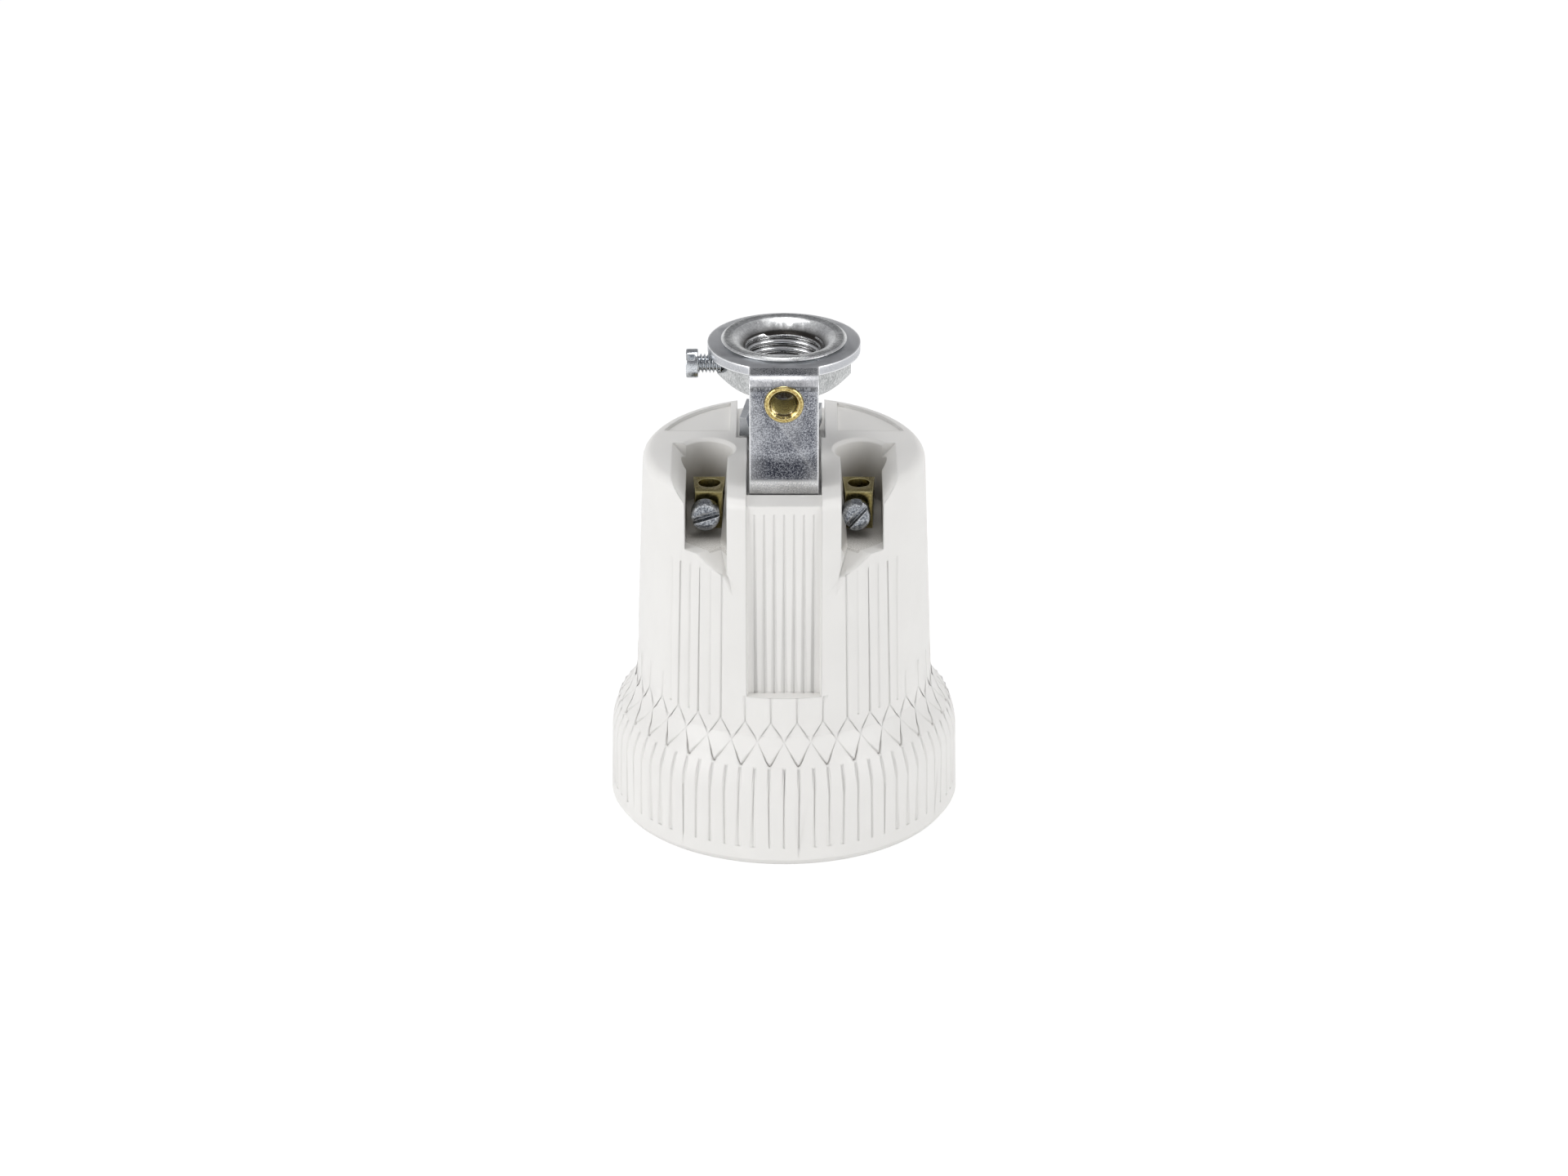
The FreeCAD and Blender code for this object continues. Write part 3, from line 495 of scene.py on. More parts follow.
@dataclass(frozen=True)
class MetalFinish:
    """A bare or plated metal: its two tones, its grain, its gloss, its small edge rounding and the painted
    shade, highlights and reflections laid over them.
    """

    name: str
    light: Colour
    dark: Colour
    grain_mm: float
    grain_deep_mm: float
    rough: float
    edge_mm: float
    rough_swing: float = 0.08
    stain_mm: float = 3.0
    stain_share: float = 0.3
    wave_mm: float = 1.4
    wave_deep_mm: float = 0.0
    # Width and tone of the painted highlight along the edges.
    highlight_mm: float = 0.0
    highlight_tone: Colour = (0.92, 0.93, 0.94)
    grain_range: tuple[float, float] = (0.36, 0.62)
    # Painted shade inside a bore.
    bore: BoreShade | None = None
    painted_bands: tuple[PaintedBand, ...] = ()

    def make(self) -> bpy.types.Material:
        """Makes the material.

        Returns:
            The finished material.
        """
        nodes = SheetOfNodes(self.name)
        shader = nodes.surface(Metallic=1.0)
        grain = nodes.noise(self.grain_mm, 2.0, 0.65)
        stain = nodes.noise(self.stain_mm, 3.0, 0.6)
        mixed = nodes.math("ADD", nodes.math("MULTIPLY", grain, 1.0 - self.stain_share),
                           nodes.math("MULTIPLY", stain, self.stain_share))
        base = nodes.blend(nodes.spread(mixed, 0.0, 1.0, *self.grain_range), self.dark, self.light)
        rough = nodes.spread(stain, self.rough - self.rough_swing, self.rough + self.rough_swing)
        # Painted shade, highlights and reflections, band by band.
        for band in self.painted_bands:
            mask = band.mask(nodes)
            base = nodes.blend(band.speckled(nodes, mask, grain, self.grain_mm), base, band.tone)
            rough = nodes.math("ADD", rough, nodes.math("MULTIPLY", mask, band.rough - self.rough))
        # Painted shade inside the bore.
        if self.bore is not None:
            base = nodes.blend(self.bore.share(nodes), base, self.bore.tone)
        # Painted highlight along the edges.
        if self.highlight_mm:
            base = nodes.blend(nodes.edge_highlight_share(self.highlight_mm), base, self.highlight_tone)
        nodes.join(base, shader.inputs["Base Color"])
        nodes.join(rough, shader.inputs["Roughness"])
        normal = nodes.soft_edges(self.edge_mm)
        if self.wave_deep_mm:
            normal = nodes.bump(nodes.noise(self.wave_mm, 1.0), self.wave_deep_mm, normal)
        normal = nodes.bump(grain, self.grain_deep_mm, normal)
        nodes.join(normal, shader.inputs["Normal"])
        return nodes.material


STRAP_BANDS = (
    # Painted light: the disc's top, then its rim, lighter than the rest of the strap.
    PaintedBand(62.86, 66.0, 0.1, (0.62, 0.63, 0.64), 0.70, 0.34),
    PaintedBand(61.4, 62.86, 0.1, (0.60, 0.61, 0.63), 0.80, 0.30),
    # Upper bend, painted reflections: from its dark start over the bright round to the dark line under it.
    PaintedBand(62.70, 64.0, 0.08, (0.05, 0.053, 0.065), 0.9, 0.30, front=-9.6, streaks=True),
    PaintedBand(61.75, 62.70, 0.15, (0.80, 0.80, 0.82), 1.0, 0.34, front=-10.6, streaks=True),
    PaintedBand(61.15, 61.65, 0.15, (0.04, 0.042, 0.05), 0.8, 0.25, front=-10.6, streaks=True),
    # Lower bend, painted reflections: dark above, and bright below where the porcelain lip would mirror.
    PaintedBand(49.4, 52.2, 1.2, (0.015, 0.017, 0.028), 1.0, 0.22, front=-11.4),
    PaintedBand(40.0, 49.2, 0.5, (1.0, 1.0, 1.0), 1.0, 0.66, front=-11.4),
)
RING_BANDS = (
    # Painted highlight on the sides of the lip and the funnel, then painted shade and a painted reflection of
    # the brass bush on the front facet.
    PaintedBand(62.2, 63.36, 0.1, (0.97, 0.98, 0.98), 0.95, 0.34),
    PaintedBand(55.0, 61.2, 0.2, (0.10, 0.065, 0.025), 1.0, 0.45, front=-7.24),
)
STEEL_BANDS = (
    # Painted shade on the clamp screws down in the wells, then painted light that makes the fixings in the
    # channel paler.
    PaintedBand(38.0, 45.2, 0.5, (0.08, 0.09, 0.11), 0.82, 0.12),
    PaintedBand(47.8, 57.6, 0.5, (0.72, 0.74, 0.77), 0.6, 0.32),
)
FINISHES: dict[Slot, GlazedPorcelain | MetalFinish] = {
    Slot.PORCELAIN: GlazedPorcelain(),
    Slot.STRAP: MetalFinish(
        "zinc_plated_sheet", (0.44, 0.455, 0.49), (0.075, 0.08, 0.10), grain_mm=0.16, grain_deep_mm=0.020,
        rough=0.24, edge_mm=0.12, highlight_mm=0.30, grain_range=(0.40, 0.60), painted_bands=STRAP_BANDS),
    Slot.RING: MetalFinish(
        "cast_zinc", (0.60, 0.61, 0.61), (0.30, 0.31, 0.31), grain_mm=0.30, grain_deep_mm=0.012,
        rough=0.24, edge_mm=0.10, stain_mm=1.6, wave_deep_mm=0.03, highlight_mm=0.16,
        bore=BoreShade(5.35, (0.06, 0.055, 0.05), top=63.3, fade=0.8), painted_bands=RING_BANDS),
    Slot.STEEL: MetalFinish(
        "zinc_plated_screws", (0.70, 0.73, 0.76), (0.34, 0.36, 0.39), grain_mm=0.20, grain_deep_mm=0.010,
        rough=0.16, edge_mm=0.07, wave_deep_mm=0.04, highlight_mm=0.12, painted_bands=STEEL_BANDS),
    Slot.BUSH: MetalFinish(
        "bright_brass", (0.80, 0.64, 0.27), (0.28, 0.20, 0.06), grain_mm=0.30, grain_deep_mm=0.006,
        rough=0.16, edge_mm=0.05, wave_deep_mm=0.02, highlight_mm=0.12, highlight_tone=(0.96, 0.90, 0.60),
        bore=BoreShade(1.70, (0.17, 0.115, 0.045), axis="Y", centre_z=59.5)),
    Slot.TERMINAL: MetalFinish(
        "raw_brass", (0.36, 0.30, 0.12), (0.17, 0.135, 0.05), grain_mm=0.25, grain_deep_mm=0.008,
        rough=0.30, edge_mm=0.10, highlight_mm=0.12, highlight_tone=(0.66, 0.60, 0.34)),
    Slot.CONTACT: MetalFinish(
        "drawn_brass", (0.74, 0.58, 0.27), (0.52, 0.38, 0.15), grain_mm=0.25, grain_deep_mm=0.004,
        rough=0.26, edge_mm=0.05),
}


class Finisher:
    """Keeps one material for each slot and dresses pieces with them."""

    def __init__(self) -> None:
        """Makes every material once."""
        self.made = {slot: finish.make() for slot, finish in FINISHES.items()}

    def dress(self, piece: bpy.types.Object, slot: Slot) -> None:
        """Gives a whole piece the finish of a slot.

        Args:
            piece: Object to dress.
            slot: Slot of the finish.
        """
        piece.data.materials.clear()
        piece.data.materials.append(self.made[slot])


class Bench:
    """A bmesh on the bench, in millimetres, that leaves it as an object in metres."""

    weld: float = 0.0015
    flat_angle: float = 1.5
    edge_faces: int = 2

    def __init__(self, name: str) -> None:
        """Starts an empty mesh for a piece of that name."""
        self.name = name
        self.bm = bmesh.new()

    @classmethod
    def from_node(cls, name: str, node: str) -> "Bench":
        """Starts from a merged copy of a CAD node.

        Args:
            name: Name of the new piece.
            node: CAD node to copy.

        Returns:
            The bench with the copy in millimetres.
        """
        bench = cls(name)
        bench.bm.from_mesh(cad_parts[node].data)
        bmesh.ops.scale(bench.bm, vec=(1.0 / MM,) * 3, verts=bench.bm.verts)
        bmesh.ops.remove_doubles(bench.bm, verts=bench.bm.verts, dist=cls.weld)
        bmesh.ops.dissolve_limit(bench.bm, angle_limit=math.radians(cls.flat_angle),
                                 verts=bench.bm.verts, edges=bench.bm.edges)
        return bench

    def sharp_edges(self, angle: float, wanted: Callable[[bmesh.types.BMEdge], bool] | None = None
                    ) -> list[bmesh.types.BMEdge]:
        """Finds the edges whose faces meet at more than an angle.

        Args:
            angle: Least angle in degrees.
            wanted: Test that an edge has to pass as well.

        Returns:
            The edges.
        """
        least = math.radians(angle)
        return [e for e in self.bm.edges if e.is_manifold and e.calc_face_angle(0.0) > least
                and (wanted is None or wanted(e))]

    def round_edges(self, width: float, angle: float = 40.0,
                    wanted: Callable[[bmesh.types.BMEdge], bool] | None = None) -> None:
        """Rounds sharp edges.

        Args:
            width: Width of the rounding.
            angle: Least angle in degrees of an edge that is rounded.
            wanted: Test that an edge has to pass as well.
        """
        bmesh.ops.bevel(self.bm, geom=self.sharp_edges(angle, wanted), offset=width,
                        offset_type="OFFSET", affect="EDGES", segments=self.edge_faces, profile=0.5,
                        material=-1, clamp_overlap=True)

    def turn_profile(self, points: Iterable[tuple[float, float]], steps: int = 48) -> None:
        """Turns a profile of radii and heights about the Z axis into a closed shape.

        Args:
            points: Radius and height of each corner, in order; it starts and ends on the axis.
            steps: Number of faces round the shape.
        """
        verts = [self.bm.verts.new((radius, 0.0, height)) for radius, height in points]
        edges = [self.bm.edges.new(pair) for pair in zip(verts, verts[1:])]
        bmesh.ops.spin(self.bm, geom=verts + edges, cent=(0, 0, 0), axis=(0, 0, 1), dvec=(0, 0, 0),
                       angle=math.tau, steps=steps, use_merge=True, use_duplicate=False)
        bmesh.ops.remove_doubles(self.bm, verts=self.bm.verts, dist=TOUCH)
        bmesh.ops.recalc_face_normals(self.bm, faces=self.bm.faces)

    def cut_slot(self, width: float, top: float, deep: float) -> None:
        """Cuts a driver slot along X into the top of a turned head.

        Args:
            width: Width of the slot.
            top: Height of the head's top.
            deep: Depth of the slot.
        """
        floor = top - deep
        half = width / 2
        for spot, way in (((0, half, 0), (0, 1, 0)), ((0, -half, 0), (0, 1, 0)), ((0, 0, floor), (0, 0, 1))):
            bmesh.ops.bisect_plane(self.bm, geom=self.bm.verts[:] + self.bm.edges[:] + self.bm.faces[:],
                                   plane_co=spot, plane_no=way, dist=TOUCH)
        inside = [f for f in self.bm.faces if abs(f.calc_center_median().y) < half - TOUCH
                  and f.calc_center_median().z > floor + TOUCH]
        bmesh.ops.delete(self.bm, geom=inside, context="FACES")
        rim = [e for e in self.bm.edges if e.is_boundary]
        corners = [v for v in {v for e in rim for v in e.verts}
                   if abs(abs(v.co.y) - half) < NEAR and abs(v.co.z - floor) < NEAR]
        feet = []
        for side in (-1, 1):
            pair = sorted((v for v in corners if v.co.y * side > 0), key=lambda v: v.co.x)
            feet.append(self.bm.edges.new((pair[0], pair[-1])))
        walls = [[e for e in rim if all(abs(v.co.y - side * half) < NEAR for v in e.verts)]
                 for side in (-1, 1)]
        ends = [e for e in rim if e not in walls[0] and e not in walls[1]]
        for loop in (walls[0] + [feet[0]], walls[1] + [feet[1]], ends + feet):
            bmesh.ops.edgeloop_fill(self.bm, edges=loop)
        bmesh.ops.recalc_face_normals(self.bm, faces=self.bm.faces)

    def lay(self, matrix: Matrix) -> None:
        """Turns and moves everything on the bench."""
        bmesh.ops.transform(self.bm, matrix=matrix, verts=self.bm.verts)

    def finish(self, smooth: float = 32.0) -> bpy.types.Object:
        """Takes the piece off the bench.

        Args:
            smooth: Angle in degrees below which faces shade as one surface.

        Returns:
            The object, at the origin, with its place in its mesh.
        """
        bmesh.ops.scale(self.bm, vec=(MM,) * 3, verts=self.bm.verts)
        for face in self.bm.faces:
            face.smooth = True
        limit = math.radians(smooth)
        for edge in self.bm.edges:
            edge.smooth = not edge.is_manifold or edge.calc_face_angle(0.0) < limit
        mesh = bpy.data.meshes.new(self.name)
        self.bm.to_mesh(mesh)
        self.bm.free()
        piece = bpy.data.objects.new(self.name, mesh)
        bpy.context.scene.collection.objects.link(piece)
        return piece


@dataclass
class Thread:
    """A screw thread about the Z axis: its largest and smallest radius and its pitch."""

    crest: float
    root: float
    pitch: float
    steps: int = 28

    def rod(self, bench: Bench, low: float, high: float, chamfer: float = 0.0) -> None:
        """Adds a closed threaded rod.

        Args:
            bench: Bench that gets the rod.
            low: Height of its lower end.
            high: Height of its upper end.
            chamfer: Chamfer at the lower end.
        """
        part = bmesh.new()
        flat = self.pitch / 8
        turns = int((high - low) / self.pitch) + 3
        start = low - 1.5 * self.pitch
        corners = [(self.root, 0.0), (self.root, flat), (self.crest, self.pitch / 2 - flat / 2),
                   (self.crest, self.pitch / 2 + flat / 2), (self.root, self.pitch)]
        verts = [part.verts.new((radius, 0.0, start + height)) for radius, height in corners]
        edges = [part.edges.new(pair) for pair in zip(verts, verts[1:])]
        bmesh.ops.spin(part, geom=verts + edges, cent=(0, 0, 0), axis=(0, 0, 1),
                       dvec=(0, 0, self.pitch / self.steps), angle=math.tau * turns,
                       steps=self.steps * turns, use_merge=False, use_duplicate=False)
        bmesh.ops.remove_doubles(part, verts=part.verts, dist=self.pitch * 0.01)
        for height, way in ((low, -1.0), (high, 1.0)):
            cut = bmesh.ops.bisect_plane(
                part, geom=part.verts[:] + part.edges[:] + part.faces[:], dist=TOUCH,
                plane_co=(0, 0, height), plane_no=(0, 0, way), clear_outer=True)
            rim = [e for e in cut["geom_cut"] if isinstance(e, bmesh.types.BMEdge)]
            bmesh.ops.edgeloop_fill(part, edges=rim)
        bmesh.ops.recalc_face_normals(part, faces=part.faces)
        if chamfer:
            self.chamfer_end(part, low, chamfer)
        mesh = bpy.data.meshes.new("thread_rod")
        part.to_mesh(mesh)
        part.free()
        bench.bm.from_mesh(mesh)
        bpy.data.meshes.remove(mesh)

    def chamfer_end(self, part: bmesh.types.BMesh, low: float, chamfer: float) -> None:
        """Draws the lower end of a rod in to a chamfer.

        Args:
            part: Mesh of the rod.
            low: Height of the lower end.
            chamfer: Height and depth of the chamfer.
        """
        for vert in part.verts:
            reach = self.crest - chamfer + (vert.co.z - low)
            radius = math.hypot(vert.co.x, vert.co.y)
            if reach < radius:
                vert.co.x *= reach / radius
                vert.co.y *= reach / radius


@dataclass
class SlottedScrew:
    """Cheese-head screw with a driver slot and a cut thread; it stands for one CAD node."""

    node: str
    body: str
    seat: Point
    way: Point
    spin: float
    length: float
    thread: Thread
    head_r: float
    head_tall: float
    slot_width: float = 0.78
    slot_deep: float = 0.9
    slot_edge: float = 0.05
    edge: float = 0.16
    tip: float = 0.3
    into_head: float = 0.02

    def make(self, shop: Finisher) -> bpy.types.Object:
        """Makes the screw and dresses it.

        Args:
            shop: Finisher with the materials.

        Returns:
            The finished screw.
        """
        bench = Bench(self.node + "_cut")
        edge = self.edge
        bench.turn_profile([
            (0.0, 0.0), (self.head_r - edge * 0.5, 0.0), (self.head_r, edge * 0.5),
            (self.head_r, self.head_tall - edge), (self.head_r - edge * 0.3, self.head_tall - edge * 0.3),
            (self.head_r - edge, self.head_tall), (0.0, self.head_tall)])
        bench.cut_slot(self.slot_width, self.head_tall, self.slot_deep)
        bench.round_edges(self.slot_edge, 60.0)
        self.thread.rod(bench, -self.length, self.into_head, chamfer=self.tip)
        place = Matrix.Translation(self.seat) @ lie_along(self.way)
        bench.lay(place @ Matrix.Rotation(math.radians(self.spin), 4, "Z"))
        piece = bench.finish()
        shop.dress(piece, Slot.STEEL)
        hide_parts(self.node)
        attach(piece, self.body)
        return piece


@dataclass
class Tapped:
    """A CAD node's merged copy with a thread tapped into its bore and its edges rounded."""

    node: str
    slot: Slot
    thread: Thread
    centre: Point
    way: Point
    low: float
    high: float
    edge: float
    reach_back: float = 0.0
    sliver: float = 0.004

    def make(self, shop: Finisher) -> bpy.types.Object:
        """Makes the tapped piece and dresses it.

        Args:
            shop: Finisher with the materials.

        Returns:
            The finished piece.
        """
        blank = Bench.from_node(self.node + "_tapped", self.node)
        if self.reach_back:
            rear = max(v.co.y for v in blank.bm.verts)
            end = [v for v in blank.bm.verts if v.co.y > rear - END]
            bmesh.ops.translate(blank.bm, vec=(0, self.reach_back, 0), verts=end)
        blank.round_edges(self.edge, wanted=self.outside)
        piece = blank.finish()
        self.tap(piece)
        shop.dress(piece, self.slot)
        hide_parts(self.node)
        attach(piece, "holder")
        return piece

    def tap(self, piece: bpy.types.Object) -> None:
        """Cuts the thread into the bore.

        Args:
            piece: Piece that gets the thread.
        """
        tool = Bench(self.node + "_tap")
        self.thread.rod(tool, self.low, self.high)
        tool.lay(Matrix.Translation(self.centre) @ lie_along(self.way))
        tap = tool.finish()
        cut = piece.modifiers.new("tap", "BOOLEAN")
        cut.operation = "DIFFERENCE"
        cut.solver = "EXACT"
        cut.object = tap
        graph = bpy.context.evaluated_depsgraph_get()
        mesh = bpy.data.meshes.new_from_object(piece.evaluated_get(graph))
        piece.modifiers.clear()
        piece.data = mesh
        bpy.data.objects.remove(tap)
        self.clear_slivers(mesh)

    def clear_slivers(self, mesh: bpy.types.Mesh) -> None:
        """Merges the slivers that the cut leaves where two faces nearly touch.

        Args:
            mesh: Mesh after the cut.
        """
        bm = bmesh.new()
        bm.from_mesh(mesh)
        bmesh.ops.remove_doubles(bm, verts=bm.verts, dist=self.sliver * MM)
        bmesh.ops.dissolve_degenerate(bm, edges=bm.edges, dist=self.sliver * MM)
        bmesh.ops.recalc_face_normals(bm, faces=bm.faces)
        bm.to_mesh(mesh)
        bm.free()

    def outside(self, edge: bmesh.types.BMEdge) -> bool:
        """Says whether an edge lies clear of the bore that is tapped."""
        middle = (edge.verts[0].co + edge.verts[1].co) / 2 - Vector(self.centre)
        way = Vector(self.way).normalized()
        return (middle - way * middle.dot(way)).length > self.thread.crest + 2 * self.edge


@dataclass
class Softened:
    """A CAD node's merged copy with its sharp edges rounded."""

    node: str
    body: str
    slot: Slot
    edge: float
    draw_in: float = 0.0

    def make(self, shop: Finisher) -> bpy.types.Object:
        """Makes the rounded piece and dresses it.

        Args:
            shop: Finisher with the materials.

        Returns:
            The finished piece.
        """
        bench = Bench.from_node(self.node + "_soft", self.node)
        if self.draw_in:
            self.narrow_front(bench)
        bench.round_edges(self.edge)
        piece = bench.finish()
        shop.dress(piece, self.slot)
        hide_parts(self.node)
        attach(piece, self.body)
        return piece

    def narrow_front(self, bench: Bench) -> None:
        """Draws the two front corners of a block in.

        Args:
            bench: Bench with the block.
        """
        verts = bench.bm.verts
        front = min(v.co.y for v in verts) + END
        left, right = min(v.co.x for v in verts), max(v.co.x for v in verts)
        for side, limit in ((1, left + END), (-1, right - END)):
            corner = [v for v in verts if v.co.y < front and (limit - v.co.x) * side > 0]
            bmesh.ops.translate(bench.bm, vec=(side * self.draw_in, 0, 0), verts=corner)


@dataclass
class PorcelainBody:
    """The porcelain: the CAD body's merged copy, its grooves filled part way by the glaze."""

    node: str = "porcelain_body"
    skin_r: float = 16.4
    skirt_r: float = 20.0
    skirt_z: float = 12.0
    flutes_top: float = 13.5
    grooves_top: float = 39.0
    groove_angle: float = 60.0
    recess_half: float = 4.68
    recess_corner: float = 0.06
    ease: float = 0.35
    passes: int = 3
    skirt_passes: int = 4
    smooth_angle: float = 22.0

    def make(self, shop: Finisher) -> list[bpy.types.Object]:
        """Makes the body and dresses it.

        Args:
            shop: Finisher with the materials.

        Returns:
            The finished body.
        """
        bench = Bench.from_node(self.node + "_glazed", self.node)
        bottoms = {v for e in bench.bm.edges if self.is_groove(e) for v in e.verts}
        skirt = [v for v in bottoms if v.co.z < self.flutes_top]
        for verts in [list(bottoms)] * self.passes + [skirt] * self.skirt_passes:
            bmesh.ops.smooth_vert(bench.bm, verts=verts, factor=self.ease,
                                  use_axis_x=True, use_axis_y=True, use_axis_z=False)
        LOG.info("%s: %d groove corners eased", self.node, len(bottoms))
        piece = bench.finish(self.smooth_angle)
        shop.dress(piece, Slot.PORCELAIN)
        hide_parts(self.node)
        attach(piece, "holder")
        return [piece]

    def is_groove(self, edge: bmesh.types.BMEdge) -> bool:
        """Says whether an edge is the bottom of a groove in the outer skin.

        Args:
            edge: Edge of the merged body.

        Returns:
            True for the bottom of a flute, of a lattice line or of a line in the recess.
        """
        if not edge.is_manifold or edge.is_convex:
            return False
        if edge.calc_face_angle(0.0) < math.radians(self.groove_angle):
            return False
        middle = (edge.verts[0].co + edge.verts[1].co) / 2
        radius = math.hypot(middle.x, middle.y)
        least = self.skirt_r if middle.z < self.skirt_z else self.skin_r
        beside = abs(abs(middle.x) - self.recess_half) < self.recess_corner
        corner = beside and middle.y < -self.skin_r
        return radius > least and middle.z < self.grooves_top and not corner


@dataclass
class Bracket:
    """Strap, tapped entry ring with its lock screw, and the earth bush."""

    ring_thread: Thread
    bush_thread: Thread
    screw_thread: Thread
    edge: float = 0.14

    def make(self, shop: Finisher) -> list[bpy.types.Object]:
        """Makes the bracket's pieces.

        Args:
            shop: Finisher with the materials.

        Returns:
            The finished pieces.
        """
        strap = Softened("bracket_strap", "holder", Slot.STRAP, self.edge)
        ring = Tapped("bracket_ring", Slot.RING, self.ring_thread, (0, 0, 0), (0, 0, 1),
                      low=57.0, high=62.0, edge=self.edge)
        bush = Tapped("earth_bush", Slot.BUSH, self.bush_thread, (0, 0, 59.5), (0, -1, 0),
                      low=7.7, high=13.4, edge=self.edge, reach_back=3.1)
        lock = SlottedScrew("lock_screw", "lock_screw", (-10.8, 0, 59.7), (-1, 0, 0), spin=-44.0, length=5.5,
                            thread=self.screw_thread, head_r=1.84, head_tall=1.53, slot_deep=1.1)
        return [part.make(shop) for part in (strap, ring, bush, lock)]


@dataclass
class Terminals:
    """Terminal blocks in the wells with their clamp screws."""

    thread: Thread
    edge: float = 0.12
    draw_in: float = 0.3
    left_seat: Point = (-9.9, -8.0, 42.8)
    left_spin: float = 18.0
    right_seat: Point = (9.02, -8.0, 42.8)
    right_spin: float = 50.0
    length: float = 2.6
    head_r: float = 1.83
    head_tall: float = 1.9

    def make(self, shop: Finisher) -> list[bpy.types.Object]:
        """Makes the blocks and their screws.

        Args:
            shop: Finisher with the materials.

        Returns:
            The finished pieces.
        """
        parts = [
            Softened("terminal_block_left", "holder", Slot.TERMINAL, self.edge, self.draw_in),
            Softened("terminal_block_right", "holder", Slot.TERMINAL, self.edge, self.draw_in),
            self.screw("terminal_screw_left", "clamp_left", self.left_seat, self.left_spin),
            self.screw("terminal_screw_right", "clamp_right", self.right_seat, self.right_spin),
        ]
        return [part.make(shop) for part in parts]

    def screw(self, node: str, body: str, seat: Point, spin: float) -> SlottedScrew:
        """Describes one clamp screw, which faces the front.

        Args:
            node: CAD node that it stands for.
            body: Body that it rides on.
            seat: Middle of the underside of its head.
            spin: Turn of its slot in degrees.

        Returns:
            The screw, ready to be made.
        """
        return SlottedScrew(node, body, seat, (0, -1, 0), spin, self.length, self.thread,
                            self.head_r, self.head_tall)


@dataclass
class PlainParts:
    """CAD nodes that keep their mesh and only get a finish."""

    nodes: dict[str, Slot]

    def make(self, shop: Finisher) -> list[bpy.types.Object]:
        """Dresses the nodes.

        Args:
            shop: Finisher with the materials.

        Returns:
            The dressed nodes.
        """
        pieces = []
        for name, slot in self.nodes.items():
            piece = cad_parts[name]
            shop.dress(piece, slot)
            pieces.append(piece)
        return pieces


@dataclass(frozen=True)
class Lamp:
    """One soft lamp aimed at the object: its place and size in metres and its power in watts."""

    name: str
    spot: Point
    wide: float
    tall: float
    power: float
    aim: Point = (0, 0, 0.03)

    def hang(self) -> None:
        """Adds the lamp to the scene."""
        data = bpy.data.lights.new(self.name, "AREA")
        data.shape = "RECTANGLE"
        data.size = self.wide
        data.size_y = self.tall
        data.energy = self.power
        lamp = bpy.data.objects.new(self.name, data)
        lamp.location = self.spot
        lamp.rotation_euler = (Vector(self.aim) - Vector(self.spot)).to_track_quat("-Z", "Y").to_euler()
        bpy.context.scene.collection.objects.link(lamp)


LAMPS = (
    Lamp("left", (-0.75, -0.45, 0.42), 0.50, 0.60, 4.0),
    Lamp("right", (0.75, -0.42, 0.40), 0.50, 0.60, 3.2),
    Lamp("top", (-0.05, 0.10, 0.95), 0.50, 0.50, 2.4),
)


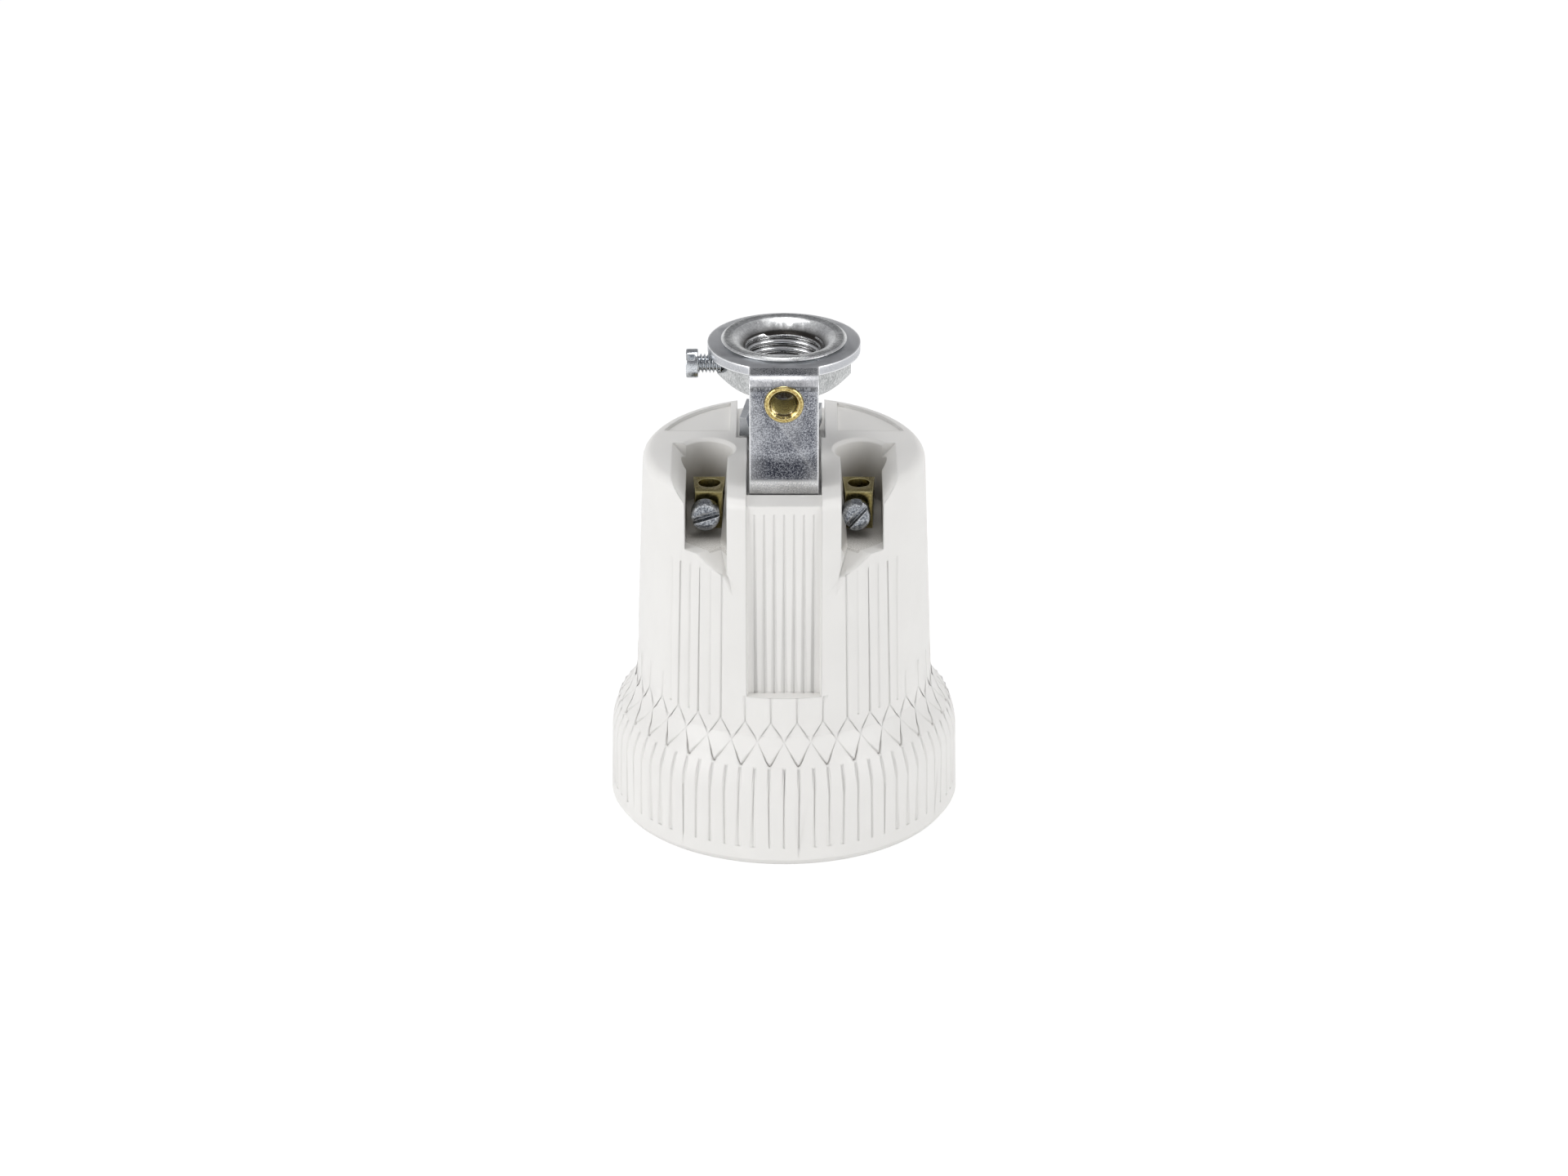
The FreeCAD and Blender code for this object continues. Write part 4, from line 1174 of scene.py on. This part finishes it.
@dataclass
class Studio:
    """White table, soft lamps and the camera of the photograph; the table's half side is in metres."""

    distance: float = 600.0
    elevation: float = 24.87
    aim_z: float = 28.5
    lens: float = 107.06
    sensor: float = 36.0
    table_half: float = 6.0
    table_tone: Colour = (0.90, 0.90, 0.90)
    shown_tone: Colour = (0.30, 0.30, 0.30)
    shown_glow: float = 0.80
    sky_range: tuple[float, float] = (0.05, 0.40)
    low_sky: Colour = (0.95, 0.95, 0.95)
    high_sky: Colour = (0.30, 0.30, 0.31)

    def build(self) -> None:
        """Sets up the table, the lamps, the sky and the camera."""
        self.table()
        self.sky()
        for lamp in LAMPS:
            lamp.hang()
        self.camera()
        bpy.context.scene.view_settings.view_transform = "Standard"

    def camera(self) -> None:
        """Places the camera where the photograph was taken from."""
        lens = bpy.data.cameras.new("camera")
        lens.lens = self.lens
        lens.sensor_width = self.sensor
        lens.clip_start = 0.01
        lens.clip_end = 50.0
        camera = bpy.data.objects.new("camera", lens)
        tilt = math.radians(self.elevation)
        aim = Vector((0, 0, self.aim_z)) * MM
        back = Vector((0, -math.cos(tilt), math.sin(tilt)))
        camera.location = aim + back * self.distance * MM
        camera.rotation_euler = (-back).to_track_quat("-Z", "Y").to_euler()
        bpy.context.scene.collection.objects.link(camera)
        bpy.context.scene.camera = camera

    def table(self) -> None:
        """Adds the table top."""
        bm = bmesh.new()
        bmesh.ops.create_grid(bm, x_segments=1, y_segments=1, size=self.table_half)
        mesh = bpy.data.meshes.new("table")
        bm.to_mesh(mesh)
        bm.free()
        table = bpy.data.objects.new("table", mesh)
        bpy.context.scene.collection.objects.link(table)
        mesh.materials.append(self.table_finish())

    def table_finish(self) -> bpy.types.Material:
        """Makes the table's finish, which glows white where the camera or a mirrored ray sees it.

        Returns:
            The finished material.
        """
        nodes = SheetOfNodes("white_table")
        plain = nodes.add("ShaderNodeBsdfDiffuse", Color=(*self.table_tone, 1.0))
        glow = nodes.add("ShaderNodeEmission", Color=(1.0, 1.0, 1.0, 1.0), Strength=self.shown_glow)
        faint = nodes.add("ShaderNodeBsdfDiffuse", Color=(*self.shown_tone, 1.0))
        shown = nodes.add("ShaderNodeAddShader")
        nodes.join(faint.outputs[0], shown.inputs[0])
        nodes.join(glow.outputs[0], shown.inputs[1])
        path = nodes.add("ShaderNodeLightPath")
        mirrored = nodes.math("MAXIMUM", path.outputs["Is Glossy Ray"], path.outputs["Is Transmission Ray"])
        seen = nodes.math("MAXIMUM", path.outputs["Is Camera Ray"], mirrored)
        mix = nodes.add("ShaderNodeMixShader")
        nodes.join(seen, mix.inputs[0])
        nodes.join(plain.outputs[0], mix.inputs[1])
        nodes.join(shown.outputs[0], mix.inputs[2])
        out = nodes.add("ShaderNodeOutputMaterial")
        nodes.join(mix.outputs[0], out.inputs["Surface"])
        return nodes.material

    def sky(self) -> None:
        """Fills the room with even pale light."""
        world = bpy.data.worlds.new("room")
        world.use_nodes = True
        tree = world.node_tree
        tree.nodes.clear()
        coords = tree.nodes.new("ShaderNodeTexCoord")
        axes = tree.nodes.new("ShaderNodeSeparateXYZ")
        ramp = tree.nodes.new("ShaderNodeValToRGB")
        for stop, place, tone in zip(ramp.color_ramp.elements, self.sky_range, (self.low_sky, self.high_sky)):
            stop.position = place
            stop.color = (*tone, 1.0)
        back = tree.nodes.new("ShaderNodeBackground")
        out = tree.nodes.new("ShaderNodeOutputWorld")
        tree.links.new(coords.outputs["Generated"], axes.inputs["Vector"])
        tree.links.new(axes.outputs["Z"], ramp.inputs["Fac"])
        tree.links.new(ramp.outputs["Color"], back.inputs["Color"])
        tree.links.new(back.outputs["Background"], out.inputs["Surface"])
        bpy.context.scene.world = world


def main() -> None:
    """Builds the lamp holder piece by piece, then the studio."""
    shop = Finisher()
    small = Thread(crest=1.24, root=0.88, pitch=0.46)
    assemblies = [
        PorcelainBody(),
        PlainParts({
            "screw_shell": Slot.CONTACT,
            "contact_leaf": Slot.CONTACT,
            "contact_button": Slot.CONTACT,
            "bracket_washer": Slot.STEEL,
            "bracket_nut": Slot.STEEL,
            "bracket_screw": Slot.STEEL,
            "earth_screw": Slot.STEEL,
            "earth_saddle": Slot.STEEL,
            "block_screw_left": Slot.CONTACT,
            "block_screw_right": Slot.CONTACT,
        }),
        Bracket(Thread(4.98, 4.40, 1.0, 48), Thread(1.68, 1.42, 0.5, 24), small),
        Terminals(small),
    ]
    for assembly in assemblies:
        for piece in assembly.make(shop):
            LOG.info("%s: %s has %d faces", type(assembly).__name__, piece.name, len(piece.data.polygons))
    Studio().build()


if __name__ == "__main__":
    logging.basicConfig(level=logging.INFO, format="%(name)s %(message)s")
    main()
